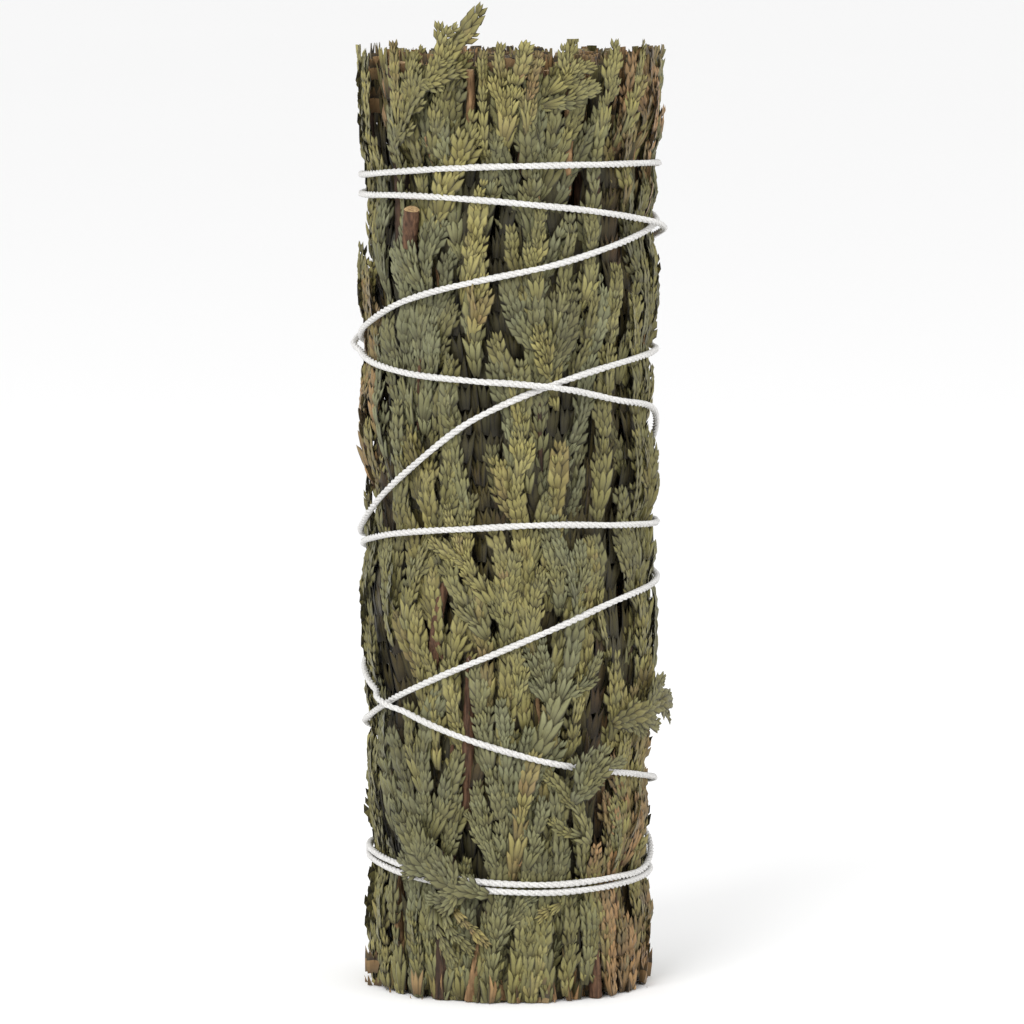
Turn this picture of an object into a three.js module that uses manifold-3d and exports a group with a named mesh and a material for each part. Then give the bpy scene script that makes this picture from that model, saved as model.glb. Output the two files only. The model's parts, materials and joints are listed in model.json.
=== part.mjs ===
// Cedar smudge stick: a round bundle of dried leafy cedar sprigs, bound with one white cotton thread.
// Millimetres, +Z up. The bundle stands on its cut ends: its axis is Z and its foot is at z = 0.
// A turn is an angle in degrees round the axis: 0 faces -Y, and 90 faces +X.
import * as THREE from "three";
import { mergeVertices } from "three/addons/utils/BufferGeometryUtils.js";
import Module from "manifold-3d";

// Bundle
const BUNDLE_RADIUS = 22.5;
const BUNDLE_HEIGHT = 140;
const FOOT_DRAW_IN = 1.3;
const FOOT_REACH = 48;
const RIM_FLARE = 0.7;
const RIM_REACH = 24;
const LUMP = 0.22;
const LUMP_CLIMB = 17;
const LUMPS_ROUND = 3;
const SECOND_LUMP = 0.7;
const SECOND_CLIMB = 0.74;
const SECOND_LUMPS_ROUND = 5;
const GAP = 0.35;
const OVERRUN = 3;
const SLAB = 60;
const STICK_SIDES = 5;
const STICK_STEPS = 4;

// Thread, as heights at seven turns from -105 to 75 on each pass across the front, from the first to the last
const THREAD_RADIUS = 0.5;
const THREAD_SIDES = 5;
const THREAD_STEPS_A_TURN = 22;
const THREAD_CLEARANCE = 0.15;
const THREAD_LIFT = 1.25;
const LIFT_FULL = 0.7;
const LIFT_REACH = 3.2;
const GROOVE_DEPTH = 1.15;
const GROOVE_REACH = 3.8;
const GROOVE_FADE = 14;
const ROUTE_STEP = 30;
const ROUTE_START = -165;
const RING_FREE_FROM = -118;
const RING_FREE_TO = -92;
const THREAD_START = [19.3, 19.6];
const THREAD_PASSES = [
  [20.6, 20.4, 19.6, 18.4, 17.9, 18.0, 18.1],
  [38.3, 41.3, 45.9, 51.0, 55.7, 59.6, 61.1],
  [65.4, 67.7, 69.8, 71.0, 71.5, 70.9, 70.1],
  [67.2, 71.3, 78.6, 86.9, 92.0, 94.8, 95.8],
  [96.2, 99.6, 104.2, 107.3, 109.7, 112.4, 114.5],
  [121.5, 122.2, 123.3, 124.2, 124.5, 124.3, 123.9],
  [118.9, 119.2, 119.7, 119.5, 118.5, 116.9, 114.8],
  [97.4, 95.0, 93.5, 92.8, 92.0, 89.5, 87.1],
  [49.6, 46.2, 43.1, 39.5, 36.2, 34.0, 32.0],
  [19.4, 19.2, 18.4, 17.2, 16.7, 16.8, 16.9],
];
const THREAD_END = [17.3, 18.0, 18.8, 19.3];
const KNOT_GAP = 1.5;
const KNOT_LOOP = 0.64;
const KNOT_STRAND = 0.45;
const KNOT_TILT = 0.4;
const TAIL_LENGTH = 5;
const TAIL_RADIUS = 0.45;
const TAIL_WAYS = [[-0.5, 0.12, -0.85], [0.62, 0.04, -0.75]];

// Leafy rods: scale leaves flare to the sides and stand outwards by turns
const NARROW = 0.58;
const LOW = 0.55;
const ROOT = 0.25;
const INNER_SHARE = 0.5;
const LEAF_REACH = 0.34;
const ROD_TIP = 0.34;

// Outer sprays, in columns round the bundle and tiers up it, the tips of each over the foot of the next
const COLUMNS = 7;
const TIERS = 4;
const TIER_PITCH = 37;
const MOST_STAGGER = 22;
const COLUMN_START = -12;
const COLUMN_WAVE = 6;
const COLUMN_WAVE_LENGTH = 24;
const COLUMN_PHASE = 2.4;
const STEM_LEAST = 0.3;
const STEM_SPAN = 0.4;
const SHORTEST_STUB = 4;
const SHORTEST_TOP = 7;
const STAGGER_SEED = 31;
const COLUMN_SEEDS = 100;

// Branchlets, from the lowest to the highest of a spray, as shares of the sizes of its kind
const LOWEST_ROOT = 0.08;
const HIGHEST_ROOT = 0.76;
const ROOT_SPREAD = 0.03;
const LOWEST_LENGTH = 1.05;
const HIGHEST_LENGTH = 0.65;
const LEAST_LENGTH = 0.92;
const LENGTH_SPREAD = 0.16;
const LOWEST_LEAN = 1.05;
const HIGHEST_LEAN = 0.75;
const LEAN_SPREAD = 0.2;
const ROOT_LEAN = 1.2;
const UPWARD_BEND = 0.3;

const OUTER = {
  length: 55,
  branchlets: 5,
  branchletLength: 22,
  lean: 27,
  halfWidth: 2.45,
  ridge: 0.85,
  rings: 4,
  stemHalfWidth: 1.7,
  stemRings: 5,
  tipDepth: 1.05,
  footDepth: 2.85,
  footShare: 0.36,
  riseShare: 0.2,
};

// Inner sprigs, full length behind the seams of the outer sprays
const INNER_SEED = 1000;
const INNER = {
  length: 146,
  branchlets: 4,
  branchletLength: 52,
  lean: 10,
  halfWidth: 3.9,
  ridge: 1.1,
  rings: 3,
  stemHalfWidth: 4.8,
  stemRings: 6,
  tipDepth: 4.9,
  footDepth: 4.9,
  footShare: 0,
  riseShare: 1,
};

// Core sprigs, one on the axis and a ring round it, each a stem with a low and a high pair of leafy rods
const CORE_RING = 6;
const CORE_RING_RADIUS = 9.7;
const CORE_STEM_RADIUS = 2.6;
const CORE_LEAF_DISTANCE = 3.0;
const CORE_HALF_WIDTH = 3.6;
const CORE_RIDGE = 1.5;
const CORE_LEAF_LENGTH = 70;
const CORE_LEAF_FEET = [-6, -6, 66, 66];
const CORE_LEAF_TURNS = [0, 180, 90, 270];
const CORE_LEAF_SHARES = [0, 0.2, 0.6, 1];
const CORE_SPREAD_FROM = -0.1;
const CORE_SPREAD_TO = 0.2;
const CORE_MOST_TURN = 60;
const CORE_CUT_SHORT = 1;
const CORE_SEED = 500;

// Heights between which the sprigs are cut off at the top
const CUT_LOW = 136.5;
const CUT_HIGH = 140.5;
const CUT_SEED = 90;

// Bare woody stems, each through places of turn, height and depth, from its lower end to its cut end
const BARE_STEMS = [
  {
    name: "stem_rim_left",
    colour: "darkWood",
    radius: 1.3,
    places: [[-55, 108, 3.2], [-54, 124, 1.9], [-52, 138.6, 1.7]],
  },
  {
    name: "stem_stub",
    colour: "redWood",
    radius: 1.15,
    places: [[-47, 104, 2.6], [-45, 111, 1.4], [-40, 117.8, -1.1]],
  },
  {
    name: "stem_foot_dark",
    colour: "darkWood",
    radius: 1.2,
    places: [[-31, -3, 1.5], [-30, 12, 1.6], [-28, 27, 3.2]],
  },
  {
    name: "stem_foot_tan",
    colour: "tanWood",
    radius: 0.8,
    places: [[-20, -3, 1.1], [-13, 8, 1.2], [-8, 15, 2.6]],
  },
  {
    name: "stem_foot_red",
    colour: "redWood",
    radius: 1.0,
    places: [[40.5, -3, 1.4], [38, 7, 1.4], [36, 15, 2.8]],
  },
  {
    name: "stem_gap_low",
    colour: "redWood",
    radius: 0.9,
    places: [[-19, 28, 2.4], [-18, 40, 1.4], [-17, 52, 2.4]],
  },
  {
    name: "stem_gap_left",
    colour: "redWood",
    radius: 0.85,
    places: [[-36, 46, 2.4], [-30, 57, 1.4], [-26, 66, 2.4]],
  },
  {
    name: "stem_rim_front",
    colour: "tanWood",
    radius: 0.7,
    places: [[25, 120, 2.6], [24, 127, 1.4], [22, 139.5, 0.6]],
  },
];

// Loose sprigs on the surface: a main stem through places, and branchlets that leave it, each with the
// share of the stem at its root, its side and its length
const LOOSE_LEAN = 35;
const LOOSE_BRANCHLET = 0.85;
const LOOSE_SPRIGS = [
  {
    name: "sprig_above_rim",
    colour: "olive",
    halfWidth: 1.7,
    places: [[-46, 127, -1.2], [-34, 135, -1.3], [-21, 141, -1.2], [-9, 148, -0.6]],
    branchlets: [[0.3, 1, 8], [0.45, -1, 7], [0.62, 1, 6]],
  },
  {
    name: "sprig_over_ring",
    colour: "greyGreen",
    halfWidth: 1.6,
    places: [[-9, 16.5, -1.5], [-24, 18, -1.7], [-36, 21.5, -1.7], [-45, 28, -1.5]],
    branchlets: [[0.15, 1, 8], [0.3, -1, 9], [0.5, 1, 7], [0.6, -1, 7]],
  },
  {
    name: "sprig_over_thread",
    colour: "greyGreen",
    halfWidth: 1.8,
    places: [[24, 30.5, -1.5], [32, 35, -1.6], [39, 38.5, -1.5]],
    branchlets: [[0.2, 1, 6], [0.35, -1, 6]],
  },
  {
    name: "sprig_at_right",
    colour: "olive",
    halfWidth: 1.8,
    places: [[40, 41.5, -1.3], [60, 43, -1.3], [78, 43.5, -1.3], [91, 42.5, -1.1]],
    branchlets: [[0.25, -1, 8], [0.4, 1, 8], [0.65, -1, 6]],
  },
];

const SPRAY_GREENS = ["greyGreen", "olive", "yellowGreen", "olive", "greyGreen", "brownOlive"];

const COLOURS = {
  greyGreen: 0x6f7355,
  olive: 0x6b6840,
  yellowGreen: 0x85804a,
  brownOlive: 0x685b3c,
  darkWood: 0x3f2a1e,
  redWood: 0x6a432c,
  tanWood: 0xa87f4d,
  cotton: 0xe9e7e1,
};

const wasm = await Module();
wasm.setup();

// Numbers

// A repeatable run of numbers from 0 to 1
function seeded(seed) {
  let state = seed >>> 0;
  return () => {
    state = (state + 0x6d2b79f5) >>> 0;
    let mixed = Math.imul(state ^ (state >>> 15), state | 1);
    mixed ^= mixed + Math.imul(mixed ^ (mixed >>> 7), mixed | 61);
    return ((mixed ^ (mixed >>> 14)) >>> 0) / 4294967296;
  };
}

const mix = (a, b, share) => a + (b - a) * share;
const radians = (degrees) => (degrees * Math.PI) / 180;

function smooth(from, to, value) {
  const share = Math.min(1, Math.max(0, (value - from) / (to - from)));
  return share * share * (3 - 2 * share);
}

// Thread route

// Heights on an even grid of turns: straight behind the bundle between one front pass and the next
function threadGrid() {
  const heights = [...THREAD_START];
  const behind = 360 / ROUTE_STEP - THREAD_PASSES[0].length;
  THREAD_PASSES.forEach((pass, i) => {
    heights.push(...pass);
    const next = THREAD_PASSES[i + 1];
    for (let step = 1; next && step <= behind; step += 1) {
      heights.push(mix(pass.at(-1), next[0], step / (behind + 1)));
    }
  });
  return [...heights, ...THREAD_END];
}

const threadHeights = threadGrid();
const THREAD_LAST = ROUTE_START + ROUTE_STEP * (threadHeights.length - 1);

// Height of the thread at an unwound turn, smooth between the points of its grid
function threadHeight(unwound) {
  const place = (unwound - ROUTE_START) / ROUTE_STEP;
  const i = Math.min(threadHeights.length - 2, Math.max(0, Math.floor(place)));
  const share = place - i;
  const at = (n) => threadHeights[Math.min(threadHeights.length - 1, Math.max(0, n))];
  const before = (at(i + 1) - at(i - 1)) / 2;
  const after = (at(i + 2) - at(i)) / 2;
  const square = share * share;
  const cube = square * share;
  return (
    (2 * cube - 3 * square + 1) * at(i) +
    (cube - 2 * square + share) * before +
    (3 * square - 2 * cube) * at(i + 1) +
    (cube - square) * after
  );
}

// Every height at which the thread passes a turn
function passesAt(turn) {
  const heights = [];
  const first = Math.ceil((ROUTE_START - turn) / 360);
  for (let unwound = turn + 360 * first; unwound <= THREAD_LAST; unwound += 360) {
    heights.push(threadHeight(unwound));
  }
  return heights;
}

// How far the thread rides up over the turns laid before it; the last ring lies beside the first
function threadLift(unwound) {
  const ringFrom = 360 * (THREAD_PASSES.length - 1);
  const free = smooth(ringFrom + RING_FREE_FROM, ringFrom + RING_FREE_TO, unwound);
  let lift = 0;
  for (let under = unwound - 360; under >= ROUTE_START; under -= 360) {
    const apart = Math.abs(threadHeight(unwound) - threadHeight(under));
    lift = Math.max(lift, THREAD_LIFT * (1 - smooth(LIFT_FULL, LIFT_REACH, apart)));
  }
  return lift * (1 - free);
}

// Bundle surface

function bundleRadius(turn, height) {
  const angle = radians(turn);
  const foot = FOOT_DRAW_IN * (1 - smooth(0, FOOT_REACH, height));
  const rim = RIM_FLARE * smooth(BUNDLE_HEIGHT - RIM_REACH, BUNDLE_HEIGHT, height);
  const climb = height / LUMP_CLIMB;
  const first = Math.sin(LUMPS_ROUND * angle + climb);
  const second = Math.sin(SECOND_LUMPS_ROUND * angle - SECOND_CLIMB * climb);
  return BUNDLE_RADIUS - foot + rim + LUMP * (first + SECOND_LUMP * second);
}

// How far the thread draws the leaves in
function groove(turn, height) {
  let deepest = 0;
  for (const pass of passesAt(turn)) {
    deepest = Math.max(deepest, Math.exp(-(((height - pass) / GROOVE_REACH) ** 2)));
  }
  return GROOVE_DEPTH * deepest;
}

// The point at a turn and a height, and a depth below the bundle's surface; the groove fades inwards
function bundlePoint(turn, height, depth) {
  const fade = Math.min(1, Math.max(0, 1 - depth / GROOVE_FADE));
  const radius = bundleRadius(turn, height) - depth - groove(turn, height) * fade;
  const angle = radians(turn);
  return new THREE.Vector3(radius * Math.sin(angle), -radius * Math.cos(angle), height);
}

const outwards = (turn) => new THREE.Vector3(Math.sin(radians(turn)), -Math.cos(radians(turn)), 0);

// Solids

function solidOf(geometry) {
  const bare = geometry.clone();
  bare.deleteAttribute("normal");
  bare.deleteAttribute("uv");
  const merged = mergeVertices(bare, 1e-4);
  return new wasm.Manifold(
    new wasm.Mesh({
      numProp: 3,
      vertProperties: new Float32Array(merged.attributes.position.array),
      triVerts: new Uint32Array(merged.index.array),
    }),
  );
}

function geometryOf(solid) {
  const { vertProperties, triVerts } = solid.getMesh();
  const geometry = new THREE.BufferGeometry();
  geometry.setAttribute("position", new THREE.BufferAttribute(new Float32Array(vertProperties), 3));
  geometry.setIndex(new THREE.BufferAttribute(new Uint32Array(triVerts), 1));
  geometry.computeVertexNormals();
  return geometry;
}

const fused = (solids) => solids.reduce((whole, solid) => whole.add(solid));

// The largest body of a solid, without loose scraps
function largestBody(solid) {
  return solid.decompose().sort((a, b) => b.volume() - a.volume())[0];
}

// Everything between two heights
function cutBetween(solid, bottom, top) {
  const wide = 4 * BUNDLE_RADIUS;
  const slab = (low, high) => {
    const box = new THREE.BoxGeometry(wide, wide, high - low);
    return solidOf(box.translate(0, 0, (low + high) / 2));
  };
  return solid.subtract(slab(bottom - SLAB, bottom)).subtract(slab(top, top + SLAB));
}

// A round stick or cord along a curve
function tubeAlong(curve, radius, sides, steps) {
  const round = new THREE.EllipseCurve(0, 0, radius, radius).getPoints(sides);
  const section = new THREE.Shape(round.slice(0, sides));
  return solidOf(new THREE.ExtrudeGeometry(section, { extrudePath: curve, steps, bevelEnabled: false }));
}

// A three-sided leafy rod along points, bent out of a cylinder. The two side corners and the outer corner
// stand out by turns from ring to ring, and the corner that stands out reaches forward like a leaf tip.
function leafyRod(points, normals, halfWidth, ridge, tip = ROD_TIP) {
  const rings = points.length - 1;
  const rod = new THREE.CylinderGeometry(1, 1, 1, 3, rings);
  const position = rod.attributes.position;
  for (let i = 0; i < position.count; i += 1) {
    const ring = Math.round((position.getY(i) + 0.5) * rings);
    const across = position.getX(i) / Math.sin(radians(120));
    const out = position.getZ(i);
    const last = ring === rings;
    const flaring = ring % 2 === 1;
    const ahead = points[Math.min(rings, ring + 1)].clone().sub(points[Math.max(0, ring - 1)]);
    const spacing = ahead.length() / 2;
    const along = ahead.normalize();
    const side = along.clone().cross(normals[ring]).normalize();
    const outer = side.clone().cross(along);
    const size = ring === 0 ? ROOT : 1;
    const wide = last ? tip : size * halfWidth * (flaring ? 1 : NARROW);
    const high = last ? tip : size * ridge * (flaring ? LOW : 1);
    const inner = last ? tip : size * ridge * INNER_SHARE;
    const leading = out > 0 ? !flaring : flaring && Math.abs(across) > 0.5;
    const forward = leading && !last && ring > 0 ? LEAF_REACH * spacing : 0;
    const point = points[ring].clone();
    point.addScaledVector(side, across * wide);
    point.addScaledVector(outer, out > 0 ? out * high : 2 * out * inner);
    point.addScaledVector(along, forward);
    position.setXYZ(i, point.x, point.y, point.z);
  }
  return solidOf(rod);
}

// Sprays pressed on the bundle

// Side edge of a column of sprays
function columnEdge(column, height) {
  const phase = COLUMN_PHASE * (column % COLUMNS);
  const wave = COLUMN_WAVE * Math.sin(height / COLUMN_WAVE_LENGTH + phase);
  return (360 / COLUMNS) * column + COLUMN_START + wave;
}

// Depth of a spray at a share of its length: its foot is tucked in behind the tips of the spray below
function sprayDepth(spray, share) {
  const { footShare, riseShare, footDepth, tipDepth } = spray.style;
  return mix(footDepth, tipDepth, smooth(footShare, footShare + riseShare, share));
}

// A spray's start and lean, and its branchlets from the foot up
function laySpray(style, column, start, seed) {
  const draw = seeded(seed);
  const spray = { style, column, start, branchlets: [] };
  spray.from = STEM_LEAST + STEM_SPAN * draw();
  spray.to = STEM_LEAST + STEM_SPAN * draw();
  for (let i = 0; i < style.branchlets; i += 1) {
    const rank = i / (style.branchlets - 1);
    spray.branchlets.push({
      side: (i + seed) % 2 ? 1 : -1,
      share: mix(LOWEST_ROOT, HIGHEST_ROOT, rank) + ROOT_SPREAD * (draw() - 0.5),
      length:
        style.branchletLength *
        mix(LOWEST_LENGTH, HIGHEST_LENGTH, rank) *
        (LEAST_LENGTH + LENGTH_SPREAD * draw()),
      lean: style.lean * (mix(LOWEST_LEAN, HIGHEST_LEAN, rank) + LEAN_SPREAD * (draw() - 0.5)),
    });
  }
  return spray;
}

// Turn and height on a spray's main stem
function stemPlace(spray, share) {
  const height = spray.start + spray.style.length * share;
  const left = columnEdge(spray.column, height);
  const right = columnEdge(spray.column + 1, height);
  return { height, turn: mix(left, right, mix(spray.from, spray.to, share)) };
}

// Keeps a rod inside its column
function keepInColumn(spray, turn, height) {
  const radius = BUNDLE_RADIUS - spray.style.footDepth;
  const room = THREE.MathUtils.radToDeg((spray.style.halfWidth + GAP / 2) / radius);
  const left = columnEdge(spray.column, height) + room;
  const right = columnEdge(spray.column + 1, height) - room;
  return Math.min(right, Math.max(left, turn));
}

// Turn and height on a branchlet, which leaves its stem leaning and bends upwards
function branchletPlace(spray, branchlet, share) {
  const root = stemPlace(spray, branchlet.share);
  const reach = branchlet.length * share;
  const across = reach * Math.sin(radians(branchlet.lean)) * (ROOT_LEAN - UPWARD_BEND * share);
  const height = root.height + reach * Math.cos(radians(branchlet.lean));
  const turn = root.turn + THREE.MathUtils.radToDeg((branchlet.side * across) / BUNDLE_RADIUS);
  return { height, turn: keepInColumn(spray, turn, height) };
}

function sprayRod(spray, rings, halfWidth, placeAt) {
  const points = [];
  const normals = [];
  for (let i = 0; i <= rings; i += 1) {
    const { turn, height } = placeAt(i / rings);
    const depth = sprayDepth(spray, (height - spray.start) / spray.style.length);
    points.push(bundlePoint(turn, height, depth));
    normals.push(outwards(turn));
  }
  return leafyRod(points, normals, halfWidth, spray.style.ridge);
}

// A whole spray: its stem, and the branchlets that stand between the two cuts
function pressedSpray(spray) {
  const { rings, halfWidth, stemRings, stemHalfWidth, length } = spray.style;
  const stem = sprayRod(spray, stemRings, stemHalfWidth, (share) => stemPlace(spray, share));
  const standing = spray.branchlets.filter((branchlet) => {
    const foot = spray.start + length * branchlet.share;
    return foot + branchlet.length > SHORTEST_STUB && foot < BUNDLE_HEIGHT - SHORTEST_TOP;
  });
  const rods = standing.map((branchlet) =>
    sprayRod(spray, rings, halfWidth, (share) => branchletPlace(spray, branchlet, share)),
  );
  const top = mix(CUT_LOW, CUT_HIGH, seeded(spray.column + CUT_SEED)());
  return cutBetween(fused([stem, ...rods]), 0, top);
}

function outerSpray(column, tier) {
  const start = TIER_PITCH * tier - MOST_STAGGER * seeded(column + STAGGER_SEED)();
  return pressedSpray(laySpray(OUTER, column, start, COLUMN_SEEDS * column + tier));
}

function innerSprig(column) {
  return pressedSpray(laySpray(INNER, column + 0.5, -OVERRUN, INNER_SEED + column));
}

// Core sprigs

// A leafy stem at a distance from the axis, with leafy rods rising beside it
function coreSprig(turn, distance, seed) {
  const draw = seeded(seed);
  const axis = outwards(turn).multiplyScalar(distance);
  const at = (angle, reach, height) => outwards(angle).multiplyScalar(reach).add(axis).setZ(height);
  const stemLine = new THREE.LineCurve3(at(0, 0, -OVERRUN), at(0, 0, BUNDLE_HEIGHT + OVERRUN));
  const turned = CORE_MOST_TURN * draw();
  const rods = CORE_LEAF_FEET.map((foot, i) => {
    const angle = CORE_LEAF_TURNS[i] + turned;
    const points = CORE_LEAF_SHARES.map((share) => {
      const reach = CORE_LEAF_DISTANCE * smooth(CORE_SPREAD_FROM, CORE_SPREAD_TO, share);
      return at(angle, reach, foot + CORE_LEAF_LENGTH * share);
    });
    return leafyRod(points, points.map(() => outwards(angle)), CORE_HALF_WIDTH, CORE_RIDGE);
  });
  const stem = tubeAlong(stemLine, CORE_STEM_RADIUS, STICK_SIDES, 1);
  return cutBetween(fused([stem, ...rods]), 0, mix(CUT_LOW, CUT_HIGH, draw()) - CORE_CUT_SHORT);
}

// Bare stems and loose sprigs

const curveThrough = (places) => new THREE.CatmullRomCurve3(places.map((place) => bundlePoint(...place)));

function bareStem({ places, radius }, extra = 0) {
  return tubeAlong(curveThrough(places), radius + extra, STICK_SIDES, STICK_STEPS);
}

function outwardsAt(point) {
  return new THREE.Vector3(point.x, point.y, 0).normalize();
}

function looseRod(curve, rings, halfWidth) {
  const points = curve.getSpacedPoints(rings);
  return leafyRod(points, points.map(outwardsAt), halfWidth, OUTER.ridge);
}

// A main stem and its branchlets, which lie along the surface as it does
function looseSprig({ places, halfWidth, branchlets }) {
  const main = curveThrough(places);
  const rods = branchlets.map(([share, side, length]) => {
    const root = main.getPointAt(share);
    const along = main.getTangentAt(share);
    const out = outwardsAt(root);
    const lean = along.clone().applyAxisAngle(out, side * radians(LOOSE_LEAN));
    const middle = root.clone().addScaledVector(lean, length / 2);
    const end = middle.clone().addScaledVector(lean.lerp(along, 0.5).normalize(), length / 2);
    const rest = Math.hypot(root.x, root.y);
    const laid = [middle, end].map((point) => outwardsAt(point).multiplyScalar(rest).setZ(point.z));
    return looseRod(new THREE.CatmullRomCurve3([root, ...laid]), 3, halfWidth * LOOSE_BRANCHLET);
  });
  return fused([looseRod(main, 6, halfWidth), ...rods]);
}

// Thread

function threadPoint(unwound) {
  const height = threadHeight(unwound);
  const rest = bundleRadius(unwound, height) - GROOVE_DEPTH + THREAD_CLEARANCE + THREAD_RADIUS;
  return outwards(unwound).multiplyScalar(rest + threadLift(unwound)).setZ(height);
}

class ThreadCurve extends THREE.Curve {
  getPoint(share, target = new THREE.Vector3()) {
    return target.copy(threadPoint(mix(ROUTE_START + KNOT_GAP, THREAD_LAST - KNOT_GAP, share)));
  }
}

function threadTube(radius) {
  const turns = (THREAD_LAST - ROUTE_START) / 360;
  return tubeAlong(new ThreadCurve(), radius, THREAD_SIDES, Math.round(THREAD_STEPS_A_TURN * turns));
}

// The knot that joins both ends of the thread, with two short tails
function knot() {
  const centre = threadPoint(ROUTE_START).addScaledVector(outwards(ROUTE_START), KNOT_LOOP);
  const loops = new THREE.TorusKnotGeometry(KNOT_LOOP, KNOT_STRAND, 18, 5, 2, 3);
  const tails = TAIL_WAYS.map((way) => {
    const end = centre.clone().addScaledVector(new THREE.Vector3(...way), TAIL_LENGTH);
    return tubeAlong(new THREE.LineCurve3(centre, end), TAIL_RADIUS, THREAD_SIDES, 1);
  });
  loops.rotateX(KNOT_TILT).translate(centre.x, centre.y, centre.z);
  return fused([solidOf(loops), ...tails]);
}

// The object

function material(colour, roughness) {
  return new THREE.MeshStandardMaterial({ color: COLOURS[colour], roughness, metalness: 0 });
}

function addNode(parent, name, solid, colour, roughness = 0.85) {
  const mesh = new THREE.Mesh(geometryOf(solid), material(colour, roughness));
  mesh.name = name;
  parent.add(mesh);
}

// What is left of a spray where the thread and the bare stems pass
function clearOf(spray, neighbours) {
  const touching = neighbours.filter((neighbour) => spray.intersect(neighbour).volume() > 1e-6);
  return largestBody(touching.reduce((left, neighbour) => left.subtract(neighbour), spray));
}

function buildBundle() {
  const bundle = new THREE.Group();
  const stems = BARE_STEMS.map((stem) => cutBetween(bareStem(stem), 0, BUNDLE_HEIGHT + 5));
  const neighbours = [...BARE_STEMS.map((stem) => bareStem(stem, GAP)), threadTube(THREAD_RADIUS + GAP)];

  for (let column = 0; column < COLUMNS; column += 1) {
    for (let tier = 0; tier < TIERS; tier += 1) {
      const green = SPRAY_GREENS[(5 * column + 2 * tier) % SPRAY_GREENS.length];
      const spray = clearOf(outerSpray(column, tier), neighbours);
      addNode(bundle, `outer_spray_${column + 1}_${tier + 1}`, spray, green);
    }
  }
  for (let column = 0; column < COLUMNS; column += 1) {
    addNode(bundle, `inner_sprig_${column + 1}`, clearOf(innerSprig(column), neighbours), "olive");
  }
  addNode(bundle, "core_sprig_centre", largestBody(coreSprig(0, 0, CORE_SEED)), "brownOlive");
  for (let i = 0; i < CORE_RING; i += 1) {
    const sprig = coreSprig((360 / CORE_RING) * i, CORE_RING_RADIUS, CORE_SEED + 1 + i);
    addNode(bundle, `core_sprig_${i + 1}`, largestBody(sprig), "brownOlive");
  }
  BARE_STEMS.forEach(({ name, colour }, i) => addNode(bundle, name, stems[i], colour, 0.75));
  LOOSE_SPRIGS.forEach((sprig) => addNode(bundle, sprig.name, looseSprig(sprig), sprig.colour));
  addNode(bundle, "binding_thread", fused([threadTube(THREAD_RADIUS), knot()]), "cotton", 0.95);
  return bundle;
}

export default buildBundle();
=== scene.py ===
"""Dresses the cedar smudge stick: fine scale leaves, bark, a twisted cotton thread and the studio round it.

Metres, +Z up. The bundle stands on its cut ends, with its axis on Z and its foot at z = 0. A turn is an
angle in degrees round the axis: 0 faces -Y, where the camera stands, and 90 faces +X. A depth is measured
inwards from the bundle's surface.
"""

import json
import logging
import math
from collections.abc import Callable, Iterable, Sequence
from dataclasses import dataclass, field
from enum import Enum
from typing import Any

import bmesh
import bpy
import numpy as np
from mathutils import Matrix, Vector

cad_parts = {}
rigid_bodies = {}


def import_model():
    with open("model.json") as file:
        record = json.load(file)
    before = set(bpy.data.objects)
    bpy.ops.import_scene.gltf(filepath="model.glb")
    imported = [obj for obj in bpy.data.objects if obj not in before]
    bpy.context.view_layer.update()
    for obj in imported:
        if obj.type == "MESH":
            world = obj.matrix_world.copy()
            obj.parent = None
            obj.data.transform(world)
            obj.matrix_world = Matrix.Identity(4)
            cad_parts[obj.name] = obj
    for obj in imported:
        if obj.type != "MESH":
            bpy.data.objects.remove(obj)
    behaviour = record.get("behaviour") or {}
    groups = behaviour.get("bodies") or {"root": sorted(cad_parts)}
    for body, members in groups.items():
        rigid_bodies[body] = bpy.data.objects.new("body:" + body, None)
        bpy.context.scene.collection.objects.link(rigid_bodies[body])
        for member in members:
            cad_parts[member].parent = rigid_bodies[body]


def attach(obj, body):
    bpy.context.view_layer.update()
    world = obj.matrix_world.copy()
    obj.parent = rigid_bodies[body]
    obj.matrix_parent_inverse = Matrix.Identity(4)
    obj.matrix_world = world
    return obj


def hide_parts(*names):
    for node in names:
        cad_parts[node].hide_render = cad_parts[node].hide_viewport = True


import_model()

LOG = logging.getLogger("smudge_stick")
BODY = "root"
Array = np.ndarray
Rng = np.random.Generator
Piece = bpy.types.Object
Material = bpy.types.Material
Place = tuple[float, float, float]
Colour = tuple[float, float, float]
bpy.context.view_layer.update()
MM = 0.001

# Bundle, as in the solids
BUNDLE_RADIUS = 0.0225
BUNDLE_HEIGHT = 0.140
OVERRUN = 0.003
COLUMNS = 7
TIERS = 4
TIER_PITCH = 0.037
MOST_STAGGER = 0.022
COLUMN_START = -12.0
COLUMN_WAVE = 6.0
COLUMN_WAVE_LENGTH = 0.024
COLUMN_PHASE = 2.4
STEM_LEAST = 0.3
STEM_SPAN = 0.4
CUT_LOW = 0.1365
CUT_HIGH = 0.1405
CORE_RING = 6
CORE_RING_RADIUS = 0.0097
STAGGER_SEED = 31
COLUMN_SEEDS = 100
INNER_SEED = 1000
CUT_SEED = 90

# Branchlets of a spray, from the lowest to the highest, as in the solids
ROOTS = (0.08, 0.76)
ROOT_SPREAD = 0.03
LENGTHS = (1.05, 0.65)
LEAST_LENGTH = 0.92
LENGTH_SPREAD = 0.16
LEANS = (1.05, 0.75)
LEAN_SPREAD = 0.2
ROOT_LEAN = 1.2
UPWARD_BEND = 0.3

# Cut ends
FOOT_CUT = 0.00012
TURN_BETWEEN = 137.5


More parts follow.
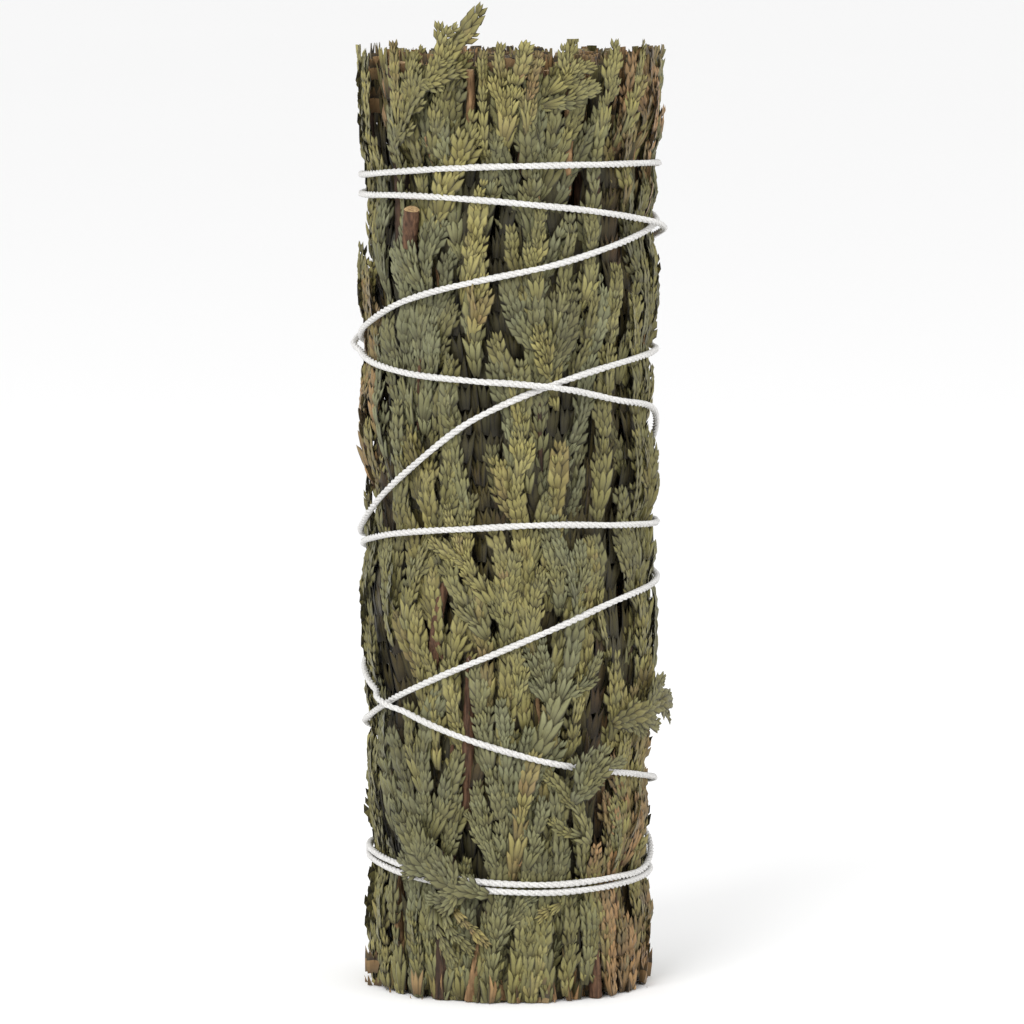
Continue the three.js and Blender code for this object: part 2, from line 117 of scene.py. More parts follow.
class Slot(Enum):
    """Names of the record's material slots."""

    GREY_GREEN = "foliage_grey_green"
    OLIVE = "foliage_olive"
    YELLOW_GREEN = "foliage_yellow_green"
    BROWN = "foliage_brown"
    DARK_WOOD = "wood_dark"
    RED_WOOD = "wood_red"
    TAN_WOOD = "wood_tan"
    COTTON = "cotton"


class Tone(Enum):
    """How ripe a spray's leaves look, from grey-green to brown, on the leaf colour ramp."""

    GREY_GREEN = 0.14
    OLIVE = 0.36
    YELLOW_GREEN = 0.55
    BROWN = 0.78


SPRAY_TONES = (Tone.GREY_GREEN, Tone.OLIVE, Tone.YELLOW_GREEN, Tone.OLIVE, Tone.GREY_GREEN, Tone.BROWN)
TONE_SLOTS = {
    Tone.GREY_GREEN: Slot.GREY_GREEN,
    Tone.OLIVE: Slot.OLIVE,
    Tone.YELLOW_GREEN: Slot.YELLOW_GREEN,
    Tone.BROWN: Slot.BROWN,
}


# Numbers


class Draws:
    """A repeatable run of numbers from 0 to 1, the same as the solids are laid out with."""

    MASK = 0xFFFFFFFF

    def __init__(self, seed: int) -> None:
        """Starts the run.

        Args:
            seed: The number that fixes the run.
        """
        self.state = seed & self.MASK

    def __call__(self) -> float:
        """Returns the next number, from 0 to 1."""
        self.state = (self.state + 0x6D2B79F5) & self.MASK
        mixed = ((self.state ^ (self.state >> 15)) * (self.state | 1)) & self.MASK
        mixed ^= (mixed + (((mixed ^ (mixed >> 7)) * (mixed | 61)) & self.MASK)) & self.MASK
        return (mixed ^ (mixed >> 14)) / 4294967296

    def between(self, low: float, high: float) -> float:
        """Returns the next number, spread from low to high."""
        return low + (high - low) * self()


def mix(low: Any, high: Any, share: Any) -> Any:
    """Returns the value at a share of the way from low to high."""
    return low + (high - low) * share


def smooth(start: float, end: float, value: Any) -> Any:
    """Returns an eased share of the way of a value from start to end.

    Args:
        start: The value that gives 0.
        end: The value that gives 1.
        value: A number or an array.

    Returns:
        A number or an array from 0 to 1.
    """
    share = np.clip((value - start) / (end - start), 0, 1)
    return share * share * (3 - 2 * share)


def outwards(turn: Array) -> Array:
    """Returns the level direction away from the axis at each turn."""
    angle = np.radians(turn)
    return np.stack([np.sin(angle), -np.cos(angle), np.zeros_like(angle)], axis=-1)


def unit(vectors: Array) -> Array:
    """Returns the vectors with length 1."""
    return vectors / np.maximum(np.linalg.norm(vectors, axis=-1, keepdims=True), 1e-12)


def running(steps: Array) -> Array:
    """Returns the distance run at each point of a line, from the steps between its points."""
    return np.concatenate([[0], np.cumsum(steps)])


def line_run(line: Array) -> Array:
    """Returns the distance run at each point of a line in space."""
    return running(np.linalg.norm(np.diff(line, axis=0), axis=1))


def along_line(values: Array, run: Array, at: Array) -> Array:
    """Returns rows of values read off at distances along a line."""
    return np.stack([np.interp(at, run, values[:, k]) for k in range(3)], axis=-1)


def turned_pair(first: Array, second: Array, angle: Array) -> tuple[Array, Array]:
    """Returns two square directions turned in their plane by an angle, the first towards the second."""
    cosine, sine = np.cos(angle), np.sin(angle)
    return first * cosine + second * sine, second * cosine - first * sine


# The thread's route and the bundle's surface


@dataclass(frozen=True)
class ThreadRoute:
    """Where the one thread runs: heights at seven turns from -105 to 75 on each pass across the front."""

    radius: float = 0.5 * MM
    clearance: float = 0.15 * MM
    lift: float = 1.25 * MM
    lift_full: float = 0.7 * MM
    lift_reach: float = 3.2 * MM
    step: float = 30.0
    start: float = -165.0
    ring_free_from: float = -118.0
    ring_free_to: float = -92.0
    lead_in: tuple[float, ...] = (0.0193, 0.0196)
    passes: tuple[tuple[float, ...], ...] = (
        (0.0206, 0.0204, 0.0196, 0.0184, 0.0179, 0.0180, 0.0181),
        (0.0383, 0.0413, 0.0459, 0.0510, 0.0557, 0.0596, 0.0611),
        (0.0654, 0.0677, 0.0698, 0.0710, 0.0715, 0.0709, 0.0701),
        (0.0672, 0.0713, 0.0786, 0.0869, 0.0920, 0.0948, 0.0958),
        (0.0962, 0.0996, 0.1042, 0.1073, 0.1097, 0.1124, 0.1145),
        (0.1215, 0.1222, 0.1233, 0.1242, 0.1245, 0.1243, 0.1239),
        (0.1189, 0.1192, 0.1197, 0.1195, 0.1185, 0.1169, 0.1148),
        (0.0974, 0.0950, 0.0935, 0.0928, 0.0920, 0.0895, 0.0871),
        (0.0496, 0.0462, 0.0431, 0.0395, 0.0362, 0.0340, 0.0320),
        (0.0194, 0.0192, 0.0184, 0.0172, 0.0167, 0.0168, 0.0169),
    )
    lead_out: tuple[float, ...] = (0.0173, 0.0180, 0.0188, 0.0193)

    def grid(self) -> Array:
        """Returns heights on an even grid of turns, straight behind the bundle between two passes."""
        heights = list(self.lead_in)
        behind = round(360 / self.step) - len(self.passes[0])
        for index, row in enumerate(self.passes):
            heights.extend(row)
            if index + 1 < len(self.passes):
                after = self.passes[index + 1][0]
                heights.extend(mix(row[-1], after, n / (behind + 1)) for n in range(1, behind + 1))
        return np.array(heights + list(self.lead_out))

    @property
    def last(self) -> float:
        """The unwound turn at the thread's end."""
        return self.start + self.step * (len(self.grid()) - 1)

    def height(self, unwound: Array) -> Array:
        """Returns the thread's height at unwound turns, smooth between the points of its grid.

        Args:
            unwound: Turns that count on from one pass to the next.

        Returns:
            Heights in metres.
        """
        grid = self.grid()
        place = (np.asarray(unwound, float) - self.start) / self.step
        i = np.clip(np.floor(place).astype(int), 0, len(grid) - 2)
        share = place - i
        at = [grid[np.clip(i + n, 0, len(grid) - 1)] for n in (-1, 0, 1, 2)]
        before = (at[2] - at[0]) / 2
        after = (at[3] - at[1]) / 2
        square = share * share
        cube = square * share
        rise = (2 * cube - 3 * square + 1) * at[1] + (3 * square - 2 * cube) * at[2]
        return rise + (cube - 2 * square + share) * before + (cube - square) * after

    def lifted(self, unwound: Array) -> Array:
        """Returns how far the thread rides up over the turns laid before it.

        Args:
            unwound: Turns that count on from one pass to the next.

        Returns:
            Distances in metres; the last ring lies beside the first and stays down.
        """
        ring = 360 * (len(self.passes) - 1)
        free = smooth(ring + self.ring_free_from, ring + self.ring_free_to, unwound)
        here = self.height(unwound)
        lift = np.zeros_like(here)
        for rounds in range(1, len(self.passes) + 1):
            under = unwound - 360 * rounds
            apart = np.abs(here - self.height(under))
            rise = self.lift * (1 - smooth(self.lift_full, self.lift_reach, apart))
            lift = np.maximum(lift, np.where(under >= self.start, rise, 0))
        return lift * (1 - free)


@dataclass(frozen=True)
class BundleSurface:
    """The lumpy round surface that the sprays are pressed to, drawn in under the thread."""

    route: ThreadRoute
    foot_draw_in: float = 1.3 * MM
    foot_reach: float = 48 * MM
    rim_flare: float = 0.7 * MM
    rim_reach: float = 24 * MM
    lump: float = 0.22 * MM
    lump_climb: float = 17 * MM
    groove_depth: float = 1.15 * MM
    groove_reach: float = 3.8 * MM
    groove_fade: float = 14 * MM

    def radius(self, turn: Array, height: Array) -> Array:
        """Returns the surface's distance from the axis, without the thread's groove.

        Args:
            turn: Turns in degrees.
            height: Heights in metres.

        Returns:
            The distances.
        """
        angle = np.radians(turn)
        foot = self.foot_draw_in * (1 - smooth(0, self.foot_reach, height))
        rim = self.rim_flare * smooth(BUNDLE_HEIGHT - self.rim_reach, BUNDLE_HEIGHT, height)
        climb = height / self.lump_climb
        lumps = np.sin(3 * angle + climb) + 0.7 * np.sin(5 * angle - 0.74 * climb)
        return BUNDLE_RADIUS - foot + rim + self.lump * lumps

    def groove(self, turn: Array, height: Array) -> Array:
        """Returns how far the thread draws the leaves in.

        Args:
            turn: Turns in degrees.
            height: Heights in metres.

        Returns:
            The distances.
        """
        deepest = np.zeros_like(height)
        wrapped = np.mod(turn - self.route.start, 360) + self.route.start
        for rounds in range(len(self.route.passes) + 1):
            unwound = wrapped + 360 * rounds
            near = np.exp(-(((height - self.route.height(unwound)) / self.groove_reach) ** 2))
            deepest = np.maximum(deepest, np.where(unwound <= self.route.last, near, 0))
        return self.groove_depth * deepest

    def points(self, turn: Array, height: Array, depth: Array) -> Array:
        """Returns the points at turns, heights and depths.

        Args:
            turn: Turns in degrees.
            height: Heights in metres.
            depth: Distances below the surface, in metres.

        Returns:
            One row of x, y and z for each.
        """
        turn, height, depth = np.broadcast_arrays(*(np.asarray(v, float) for v in (turn, height, depth)))
        fade = np.clip(1 - depth / self.groove_fade, 0, 1)
        radius = self.radius(turn, height) - depth - self.groove(turn, height) * fade
        points = outwards(turn) * radius[..., None]
        points[..., 2] = height
        return points

    def thread_points(self, unwound: Array) -> Array:
        """Returns the thread's centre line at unwound turns.

        Args:
            unwound: Turns that count on from one pass to the next.

        Returns:
            One row a point.
        """
        height = self.route.height(unwound)
        rest = self.radius(unwound, height) - self.groove_depth + self.route.clearance + self.route.radius
        points = outwards(unwound) * (rest + self.route.lifted(unwound))[..., None]
        points[..., 2] = height
        return points


# Sprays pressed on the bundle, laid out as the solids are


@dataclass(frozen=True)
class SprayStyle:
    """Sizes of one kind of spray."""

    length: float
    branchlets: int
    branchlet_length: float
    lean: float
    half_width: float
    tip_depth: float
    foot_depth: float
    foot_share: float
    rise_share: float


OUTER = SprayStyle(0.055, 5, 0.022, 27, 0.00245, 0.00105, 0.00285, 0.36, 0.2)
INNER = SprayStyle(0.146, 4, 0.052, 10, 0.0039, 0.0049, 0.0049, 0, 1)


@dataclass(frozen=True)
class Branchlet:
    """One branchlet of a spray: the share of the stem at its root, its side, length and lean."""

    side: int
    share: float
    length: float
    lean: float


def column_edge(column: float, height: Array) -> Array:
    """Returns the turn of a column's side edge at heights."""
    phase = COLUMN_PHASE * (column % COLUMNS)
    wave = COLUMN_WAVE * np.sin(height / COLUMN_WAVE_LENGTH + phase)
    return 360 / COLUMNS * column + COLUMN_START + wave


@dataclass
class Spray:
    """A flat spray between the two edges of its column: a leaning stem and alternate branchlets."""

    style: SprayStyle
    column: float
    start: float
    seed: int
    stem_from: float = 0.0
    stem_to: float = 0.0
    branchlets: list[Branchlet] = field(default_factory=list)

    def __post_init__(self) -> None:
        """Draws the stem's lean and the branchlets, in the order that the solids draw them."""
        draw = Draws(self.seed)
        self.stem_from = STEM_LEAST + STEM_SPAN * draw()
        self.stem_to = STEM_LEAST + STEM_SPAN * draw()
        for i in range(self.style.branchlets):
            rank = i / (self.style.branchlets - 1)
            side = 1 if (i + self.seed) % 2 else -1
            share = mix(*ROOTS, rank) + ROOT_SPREAD * (draw() - 0.5)
            size = LEAST_LENGTH + LENGTH_SPREAD * draw()
            length = self.style.branchlet_length * mix(*LENGTHS, rank) * size
            lean = self.style.lean * (mix(*LEANS, rank) + LEAN_SPREAD * (draw() - 0.5))
            self.branchlets.append(Branchlet(side, share, length, lean))

    @property
    def cut(self) -> float:
        """The height of the spray's cut at the top."""
        return mix(CUT_LOW, CUT_HIGH, Draws(int(self.column + CUT_SEED))())

    def depth(self, height: Array) -> Array:
        """Returns the spray's depth at heights: its foot is tucked in behind the spray below.

        Args:
            height: Heights in metres.

        Returns:
            The depths.
        """
        style = self.style
        share = (height - self.start) / style.length
        risen = smooth(style.foot_share, style.foot_share + style.rise_share, share)
        return mix(style.foot_depth, style.tip_depth, risen)

    def stem(self, share: Array) -> tuple[Array, Array]:
        """Returns turns and heights on the main stem at shares of its length.

        Args:
            share: Shares from 0 at its foot to 1.

        Returns:
            The turns and the heights.
        """
        height = self.start + self.style.length * share
        left = column_edge(self.column, height)
        right = column_edge(self.column + 1, height)
        return mix(left, right, mix(self.stem_from, self.stem_to, share)), height

    def kept(self, turn: Array, height: Array, margin: float, give: float = 0.0) -> Array:
        """Returns the turns, kept a margin inside the spray's column.

        Args:
            turn: Turns in degrees.
            height: Their heights.
            margin: Room left at each edge of the column.
            give: Share of what lies outside that room which is let past.

        Returns:
            The turns.
        """
        room = math.degrees(margin / BUNDLE_RADIUS)
        left = column_edge(self.column, height) + room
        right = column_edge(self.column + 1, height) - room
        held = np.clip(turn, left, right)
        return mix(held, turn, give)

    def branchlet(self, branchlet: Branchlet, share: Array) -> tuple[Array, Array]:
        """Returns turns and heights on a branchlet at shares of its length.

        Args:
            branchlet: The branchlet.
            share: Shares from 0 at its root to 1.

        Returns:
            The turns and the heights.
        """
        root_turn, root_height = self.stem(np.array(branchlet.share))
        reach = branchlet.length * share
        lean = math.radians(branchlet.lean)
        across = reach * math.sin(lean) * (ROOT_LEAN - UPWARD_BEND * share)
        height = root_height + reach * math.cos(lean)
        turn = root_turn + np.degrees(branchlet.side * across / BUNDLE_RADIUS)
        return self.kept(turn, height, self.style.half_width), height


def outer_sprays(column: int) -> Iterable[tuple[int, Spray]]:
    """Yields the number of each tier in a column with its spray, from the lowest up."""
    start = -MOST_STAGGER * Draws(column + STAGGER_SEED)()
    for tier in range(TIERS):
        yield tier, Spray(OUTER, column, start + TIER_PITCH * tier, COLUMN_SEEDS * column + tier)


# Twigs and the leaf whorls on them


class WhorlKind(Enum):
    """The looks of a whorl: short scales near a tip, long joints below, plain leaves far inside."""

    SCALE = 0
    JOINT = 1
    DEEP = 2


WHORL_PITCH = {WhorlKind.SCALE: 1.2, WhorlKind.JOINT: 1.85, WhorlKind.DEEP: 2.8}


@dataclass(frozen=True)
class SideTwigs:
    """How short twigs leave a strand, to each side by turns, and bend back along it.

    Attributes:
        pitch: Distance from one twig to the next.
        length: Length of the lowest twig; the others are shorter towards the tip.
        lean: How far a twig leans out at its root, in degrees.
        depth_spread: How far a twig's tip may lie above or below the strand.
        bend_back: Share of its lean that a twig has lost at its tip.
        upmost: Length of a twig at the strand's tip, as a share of the lowest one's.
        lengths: Least and most of a twig's length, as shares of what its place gives.
        leans: Least and most of its lean, likewise.
        sizes: Least and most of its width, as shares of the strand's.
        shades: Least and most of its shade, likewise.
        tone_spread: How far its tone strays from the strand's.
    """

    pitch: float
    length: float
    lean: float
    depth_spread: float = 0.5 * MM
    bend_back: float = 0.9
    upmost: float = 0.45
    lengths: tuple[float, float] = (0.65, 1.25)
    leans: tuple[float, float] = (0.7, 1.3)
    sizes: tuple[float, float] = (0.8, 1.0)
    shades: tuple[float, float] = (0.8, 1.18)
    tone_spread: float = 0.06


@dataclass
class Strand:
    """A leafy twig's line over the bundle, unrolled: across and up the surface, and its depth below it.

    Attributes:
        across: Distances round the bundle from the middle of the front.
        height: Heights.
        depth: Depths below the surface.
        size: Half the width of its whorls.
        tone: Place on the leaf colour ramp.
        shade: Brightness of its leaves, about 1; low values on deep twigs are painted shade.
        kind: The look of its whorls.
    """

    across: Array
    height: Array
    depth: Array
    size: float
    tone: float
    shade: float = 1.0
    kind: WhorlKind = WhorlKind.SCALE

    @property
    def turn(self) -> Array:
        """The turns along the line, in degrees."""
        return np.degrees(self.across / BUNDLE_RADIUS)

    def side_strands(self, rng: Rng, style: SideTwigs) -> list["Strand"]:
        """Returns the short twigs that leave the line.

        Args:
            rng: Source of small differences.
            style: How they leave it.

        Returns:
            The short twigs, from the lowest up.
        """
        run = running(np.hypot(np.diff(self.across), np.diff(self.height)))
        share = np.linspace(0, 1, 6)
        pitch = style.pitch
        first = rng.uniform(0.2, 1.0) * pitch
        twigs = []
        for index, even in enumerate(np.arange(first, run[-1] - 0.4 * pitch, pitch)):
            place = even + rng.uniform(-0.3, 0.3) * pitch
            side = 1 if index % 2 else -1
            reach = style.length * mix(1.0, style.upmost, place / run[-1]) * rng.uniform(*style.lengths)
            around = [place - pitch, place, place + pitch]
            near = np.interp(around, run, self.across)
            up = np.interp(around, run, self.height)
            heading = math.atan2(near[2] - near[0], up[2] - up[0])
            lean = side * math.radians(style.lean * rng.uniform(*style.leans))
            angle = heading + lean * (1 - style.bend_back * share)
            step = reach / (len(share) - 1)
            across = near[1] + running(np.sin(angle[1:]) * step)
            height = up[1] + running(np.cos(angle[1:]) * step)
            rise = rng.uniform(-1, 0.7) * style.depth_spread * np.sqrt(share)
            depth = np.interp(place, run, self.depth) - rise
            size = self.size * rng.uniform(*style.sizes)
            tone = self.tone + rng.normal(0, style.tone_spread)
            shade = self.shade * rng.uniform(*style.shades)
            twigs.append(Strand(across, height, depth, size, tone, shade))
        return twigs

    def halves(self, joint_share: float, joint_size: float) -> Iterable["Strand"]:
        """Yields the strand as long joints in its lower part and short scales above.

        Args:
            joint_share: Share of its length with joints.
            joint_size: Half the width of the joints.

        Yields:
            The two parts.
        """
        middle = max(2, round(len(self.height) * joint_share))
        lower = slice(0, middle + 1)
        upper = slice(middle, None)
        for part, kind, size in ((lower, WhorlKind.JOINT, joint_size), (upper, WhorlKind.SCALE, self.size)):
            lines = self.across[part], self.height[part], self.depth[part]
            yield Strand(*lines, size, self.tone, self.shade, kind)

    def twig(self, surface: BundleSurface, turn: Array) -> "Twig":
        """Returns the strand laid on the bundle, at turns that may differ a little from its own."""
        points = surface.points(turn, self.height, self.depth)
        return Twig(points, outwards(turn), self.size, self.tone, self.shade, self.kind)


@dataclass
class Twig:
    """A leafy twig's centre line in space, with the side that faces out and how its leaves look.

    Attributes:
        points: Its centre line.
        normals: The way out of the bundle at each point.
        size: Half the width of its whorls.
        tone: Place on the leaf colour ramp.
        shade: Brightness of its leaves, about 1; low values on deep twigs are painted shade.
        kind: The look of its whorls.
        roll: How far it may be turned round its own line, in radians.
    """

    points: Array
    normals: Array
    size: float
    tone: float
    shade: float = 1.0
    kind: WhorlKind = WhorlKind.SCALE
    roll: float = 0.3


@dataclass
class Whorls:
    """Places, turns and looks of leaf whorls, gathered over many twigs."""

    rng: Rng
    rows: dict[str, list[Array]] = field(default_factory=dict)
    roll_spread: float = 0.12
    widths: tuple[float, float] = (0.88, 1.12)
    lengths: tuple[float, float] = (0.94, 1.14)
    heights: tuple[float, float] = (0.7, 1.05)
    tone_spread: float = 0.05
    shade_spread: tuple[float, float] = (0.82, 1.14)

    def lay(self, twig: Twig, lowest: float = -2 * MM, highest: float = 1.0) -> None:
        """Adds the whorls of one twig.

        Args:
            twig: The twig.
            lowest: No whorl stands below this height.
            highest: No whorl stands above this height.
        """
        rng = self.rng
        run = line_run(twig.points)
        count = max(2, round(run[-1] / (WHORL_PITCH[twig.kind] * twig.size)))
        at = (np.arange(count) + 0.5) / count * run[-1]
        points = along_line(twig.points, run, at)
        normals = unit(along_line(twig.normals, run, at))
        ahead = along_line(twig.points, run, at + twig.size)
        along = unit(ahead - along_line(twig.points, run, at - twig.size))
        side = unit(np.cross(along, normals))
        outer = np.cross(side, along)
        roll = rng.normal(0, twig.roll) + rng.normal(0, self.roll_spread, count)[:, None]
        side, outer = turned_pair(side, outer, roll)
        along, outer = turned_pair(along, outer, rng.normal(0.02, 0.05, count)[:, None])
        lean = -np.arcsin(np.clip(side[:, 2], -1, 1))
        pitch = np.arctan2(along[:, 2], outer[:, 2])
        euler = np.stack([pitch, lean, np.arctan2(side[:, 1], side[:, 0])], axis=-1)
        order = np.arange(count)
        taper = np.clip((count - order) / 2.2, 0.62, 1) * np.clip((order + 3) / 4, 0.6, 1)
        keep = (points[:, 2] > lowest) & (points[:, 2] < highest)
        width = twig.size * taper * rng.uniform(*self.widths, count)
        length = width * rng.uniform(*self.lengths, count)
        size = np.stack([width, length, twig.size * rng.uniform(*self.heights, count)], -1)
        laid = {
            "place": points,
            "turned": euler,
            "size": size,
            "tone": twig.tone + rng.normal(0, self.tone_spread, count),
            "shade": twig.shade * rng.uniform(*self.shade_spread, count),
            "kind": np.full(count, twig.kind.value),
        }
        for name, values in laid.items():
            self.rows.setdefault(name, []).append(values[keep])


class Nodes:
    """A node tree in the making."""

    def __init__(self, group: bpy.types.NodeTree) -> None:
        """Starts from a node tree.

        Args:
            group: The tree that nodes are added to.
        """
        self.group = group

    def node(self, kind: str, fed: dict[Any, Any] | None = None, **settings: Any) -> bpy.types.Node:
        """Adds a node and returns it.

        Args:
            kind: Blender's name for the node type.
            fed: Names or numbers of its inputs, each with an output socket or a plain value.
            **settings: Properties to set on it.

        Returns:
            The node.
        """
        made = self.group.nodes.new(kind)
        for name, value in settings.items():
            setattr(made, name, value)
        for key, value in (fed or {}).items():
            self.feed(made.inputs[key], value)
        return made

    def feed(self, socket: Any, value: Any) -> None:
        """Sets an input socket from an output socket or a plain value.

        Args:
            socket: The input.
            value: An output socket or a plain value.
        """
        if isinstance(value, bpy.types.NodeSocket):
            self.group.links.new(value, socket)
        else:
            socket.default_value = value

    def maths(self, operation: str, *values: Any) -> Any:
        """Returns the output of a maths node.

        Args:
            operation: Blender's name for what it does.
            *values: Sockets or numbers that feed it.

        Returns:
            The output socket.
        """
        return self.node("ShaderNodeMath", dict(enumerate(values)), operation=operation).outputs["Value"]

    def vectors(self, operation: str, first: Any, second: Any) -> Any:
        """Returns the output of a vector maths node that takes two values.

        Args:
            operation: Blender's name for what it does.
            first: A vector.
            second: A vector, or the number that scales the first.

        Returns:
            The output socket.
        """
        fed = {0: first, "Scale" if operation == "SCALE" else 1: second}
        return self.node("ShaderNodeVectorMath", fed, operation=operation).outputs["Vector"]


class Tree(Nodes):
    """A Geometry Nodes tree in the making."""

    def __init__(self, name: str) -> None:
        """Starts a tree with a geometry input and output.

        Args:
            name: The tree's name.
        """
        super().__init__(bpy.data.node_groups.new(name, "GeometryNodeTree"))
        self.sockets: dict[str, str] = {}
        self.group.interface.new_socket("Geometry", in_out="OUTPUT", socket_type="NodeSocketGeometry")
        self.add_input("Geometry", "NodeSocketGeometry")
        self.given = self.node("NodeGroupInput").outputs

    def add_input(self, name: str, kind: str) -> None:
        """Adds a named input socket to the tree."""
        socket = self.group.interface.new_socket(name, in_out="INPUT", socket_type=kind)
        self.sockets[name] = socket.identifier

    def attribute(self, name: str, kind: str) -> Any:
        """Returns the output of a named attribute's node."""
        reader = self.node("GeometryNodeInputNamedAttribute", {"Name": name}, data_type=kind)
        return reader.outputs["Attribute"]

    def finish(self, geometry: Any) -> None:
        """Ends the tree with Realize Instances and Set Material.

        Args:
            geometry: The socket with the finished shape.
        """
        real = self.node("GeometryNodeRealizeInstances", {"Geometry": geometry}).outputs["Geometry"]
        dressed = {"Geometry": real, "Material": self.given["Material"]}
        made = self.node("GeometryNodeSetMaterial", dressed).outputs["Geometry"]
        self.node("NodeGroupOutput", {"Geometry": made})


def run_tree(source: Piece, tree: Tree, values: dict[str, Any], name: str) -> Piece:
    """Runs a tree on an object and returns the result as a plain mesh object.

    Args:
        source: The object that the tree works on; it is removed.
        tree: The tree.
        values: A value for each named input.
        name: The new object's name.

    Returns:
        A mesh object with no modifier, at the origin.
    """
    modifier = source.modifiers.new("tree", "NODES")
    modifier.node_group = tree.group
    for key, value in values.items():
        modifier[tree.sockets[key]] = value
    source.update_tag()
    graph = bpy.context.evaluated_depsgraph_get()
    mesh = bpy.data.meshes.new_from_object(source.evaluated_get(graph), depsgraph=graph)
    mesh.name = name
    made = bpy.data.objects.new(name, mesh)
    bpy.context.collection.objects.link(made)
    source.modifiers.remove(modifier)
    bpy.data.objects.remove(source)
    return made


def mesh_object(name: str, points: Any, faces: Any) -> Piece:
    """Makes an object from points and faces.

    Args:
        name: Its name.
        points: One row a point.
        faces: Lists of point numbers.

    Returns:
        The object, in the scene.
    """
    mesh = bpy.data.meshes.new(name)
    mesh.from_pydata([tuple(map(float, p)) for p in points], [], [tuple(map(int, f)) for f in faces])
    mesh.update()
    mesh.polygons.foreach_set("use_smooth", [True] * len(mesh.polygons))
    made = bpy.data.objects.new(name, mesh)
    bpy.context.collection.objects.link(made)
    return made


@dataclass
class Joined:
    """Points, faces and edges of several shapes, gathered for one mesh."""

    points: list[Array] = field(default_factory=list)
    corners: list[tuple[int, ...]] = field(default_factory=list)

    def add(self, points: Array, corners: Iterable[Sequence[int]]) -> None:
        """Adds a shape's points, and its faces or edges counted on from the points before it."""
        start = sum(len(rows) for rows in self.points)
        self.points.append(points)
        self.corners += [tuple(corner + start for corner in row) for row in corners]


def add_floats(mesh: bpy.types.Mesh, name: str, values: Array, place: str = "POINT") -> None:
    """Stores one number a point, or one a face corner, on a mesh."""
    mesh.attributes.new(name, "FLOAT", place).data.foreach_set("value", np.asarray(values, np.float32))


def add_vectors(mesh: bpy.types.Mesh, name: str, values: Array) -> None:
    """Stores one vector a point on a mesh."""
    rows = np.asarray(values, np.float32).ravel()
    mesh.attributes.new(name, "FLOAT_VECTOR", "POINT").data.foreach_set("vector", rows)


SHORT_ROWS = ((0.0, 0.8), (0.52, 1.0))
LONG_ROWS = ((0.0, 0.62), (0.5, 1.0), (0.82, 0.66))


@dataclass(frozen=True)
class LeafShape:
    """One scale leaf, in units of half a whorl's width.

    Attributes:
        root: Middle of its foot: across, along and out.
        tip: Its tip.
        bow: How far its middle bows sideways.
        half_width: Half its greatest width.
        plump: How far its keel stands out.
        rows: Shares of its length, each with a share of its width.
    """

    root: Place
    tip: Place
    bow: float
    half_width: float
    plump: float
    rows: tuple[tuple[float, float], ...] = SHORT_ROWS
    tip_inner: float = 0.3

    def mesh(self) -> tuple[Array, list[tuple[int, int, int]], Array, Array]:
        """Returns its points, its faces, and how far along it and in from its border each point lies.

        Returns:
            Points, faces, shares along the leaf, and 0 at its border to 1 at its keel.
        """
        root = np.array(self.root)
        tip = np.array(self.tip)
        way = tip - root
        side = unit(np.array([way[1], -way[0], 0.0]))
        points = []
        along = []
        for share, width in self.rows:
            arch = 4 * share * (1 - share)
            middle = root + way * share + np.array([self.bow * arch, 0, 0.1 * arch])
            half = side * self.half_width * width
            keel = np.array([0, 0, self.plump * (0.5 + 0.5 * width)])
            points += [middle - half, middle + keel, middle + half]
            along += [share] * 3
        points.append(tip + np.array([0, 0, 0.3 * self.plump]))
        along.append(1.0)
        inner = [0.0, 1.0, 0.0] * len(self.rows) + [self.tip_inner]
        faces = []
        for row in range(len(self.rows) - 1):
            for k in range(3):
                a, b = 3 * row + k, 3 * row + (k + 1) % 3
                faces += [(a, a + 3, b), (b, a + 3, b + 3)]
        last = 3 * (len(self.rows) - 1)
        faces += [(last + k, len(points) - 1, last + (k + 1) % 3) for k in range(3)]
        faces.append((0, 1, 2))
        return np.array(points), faces, np.array(along), np.array(inner)


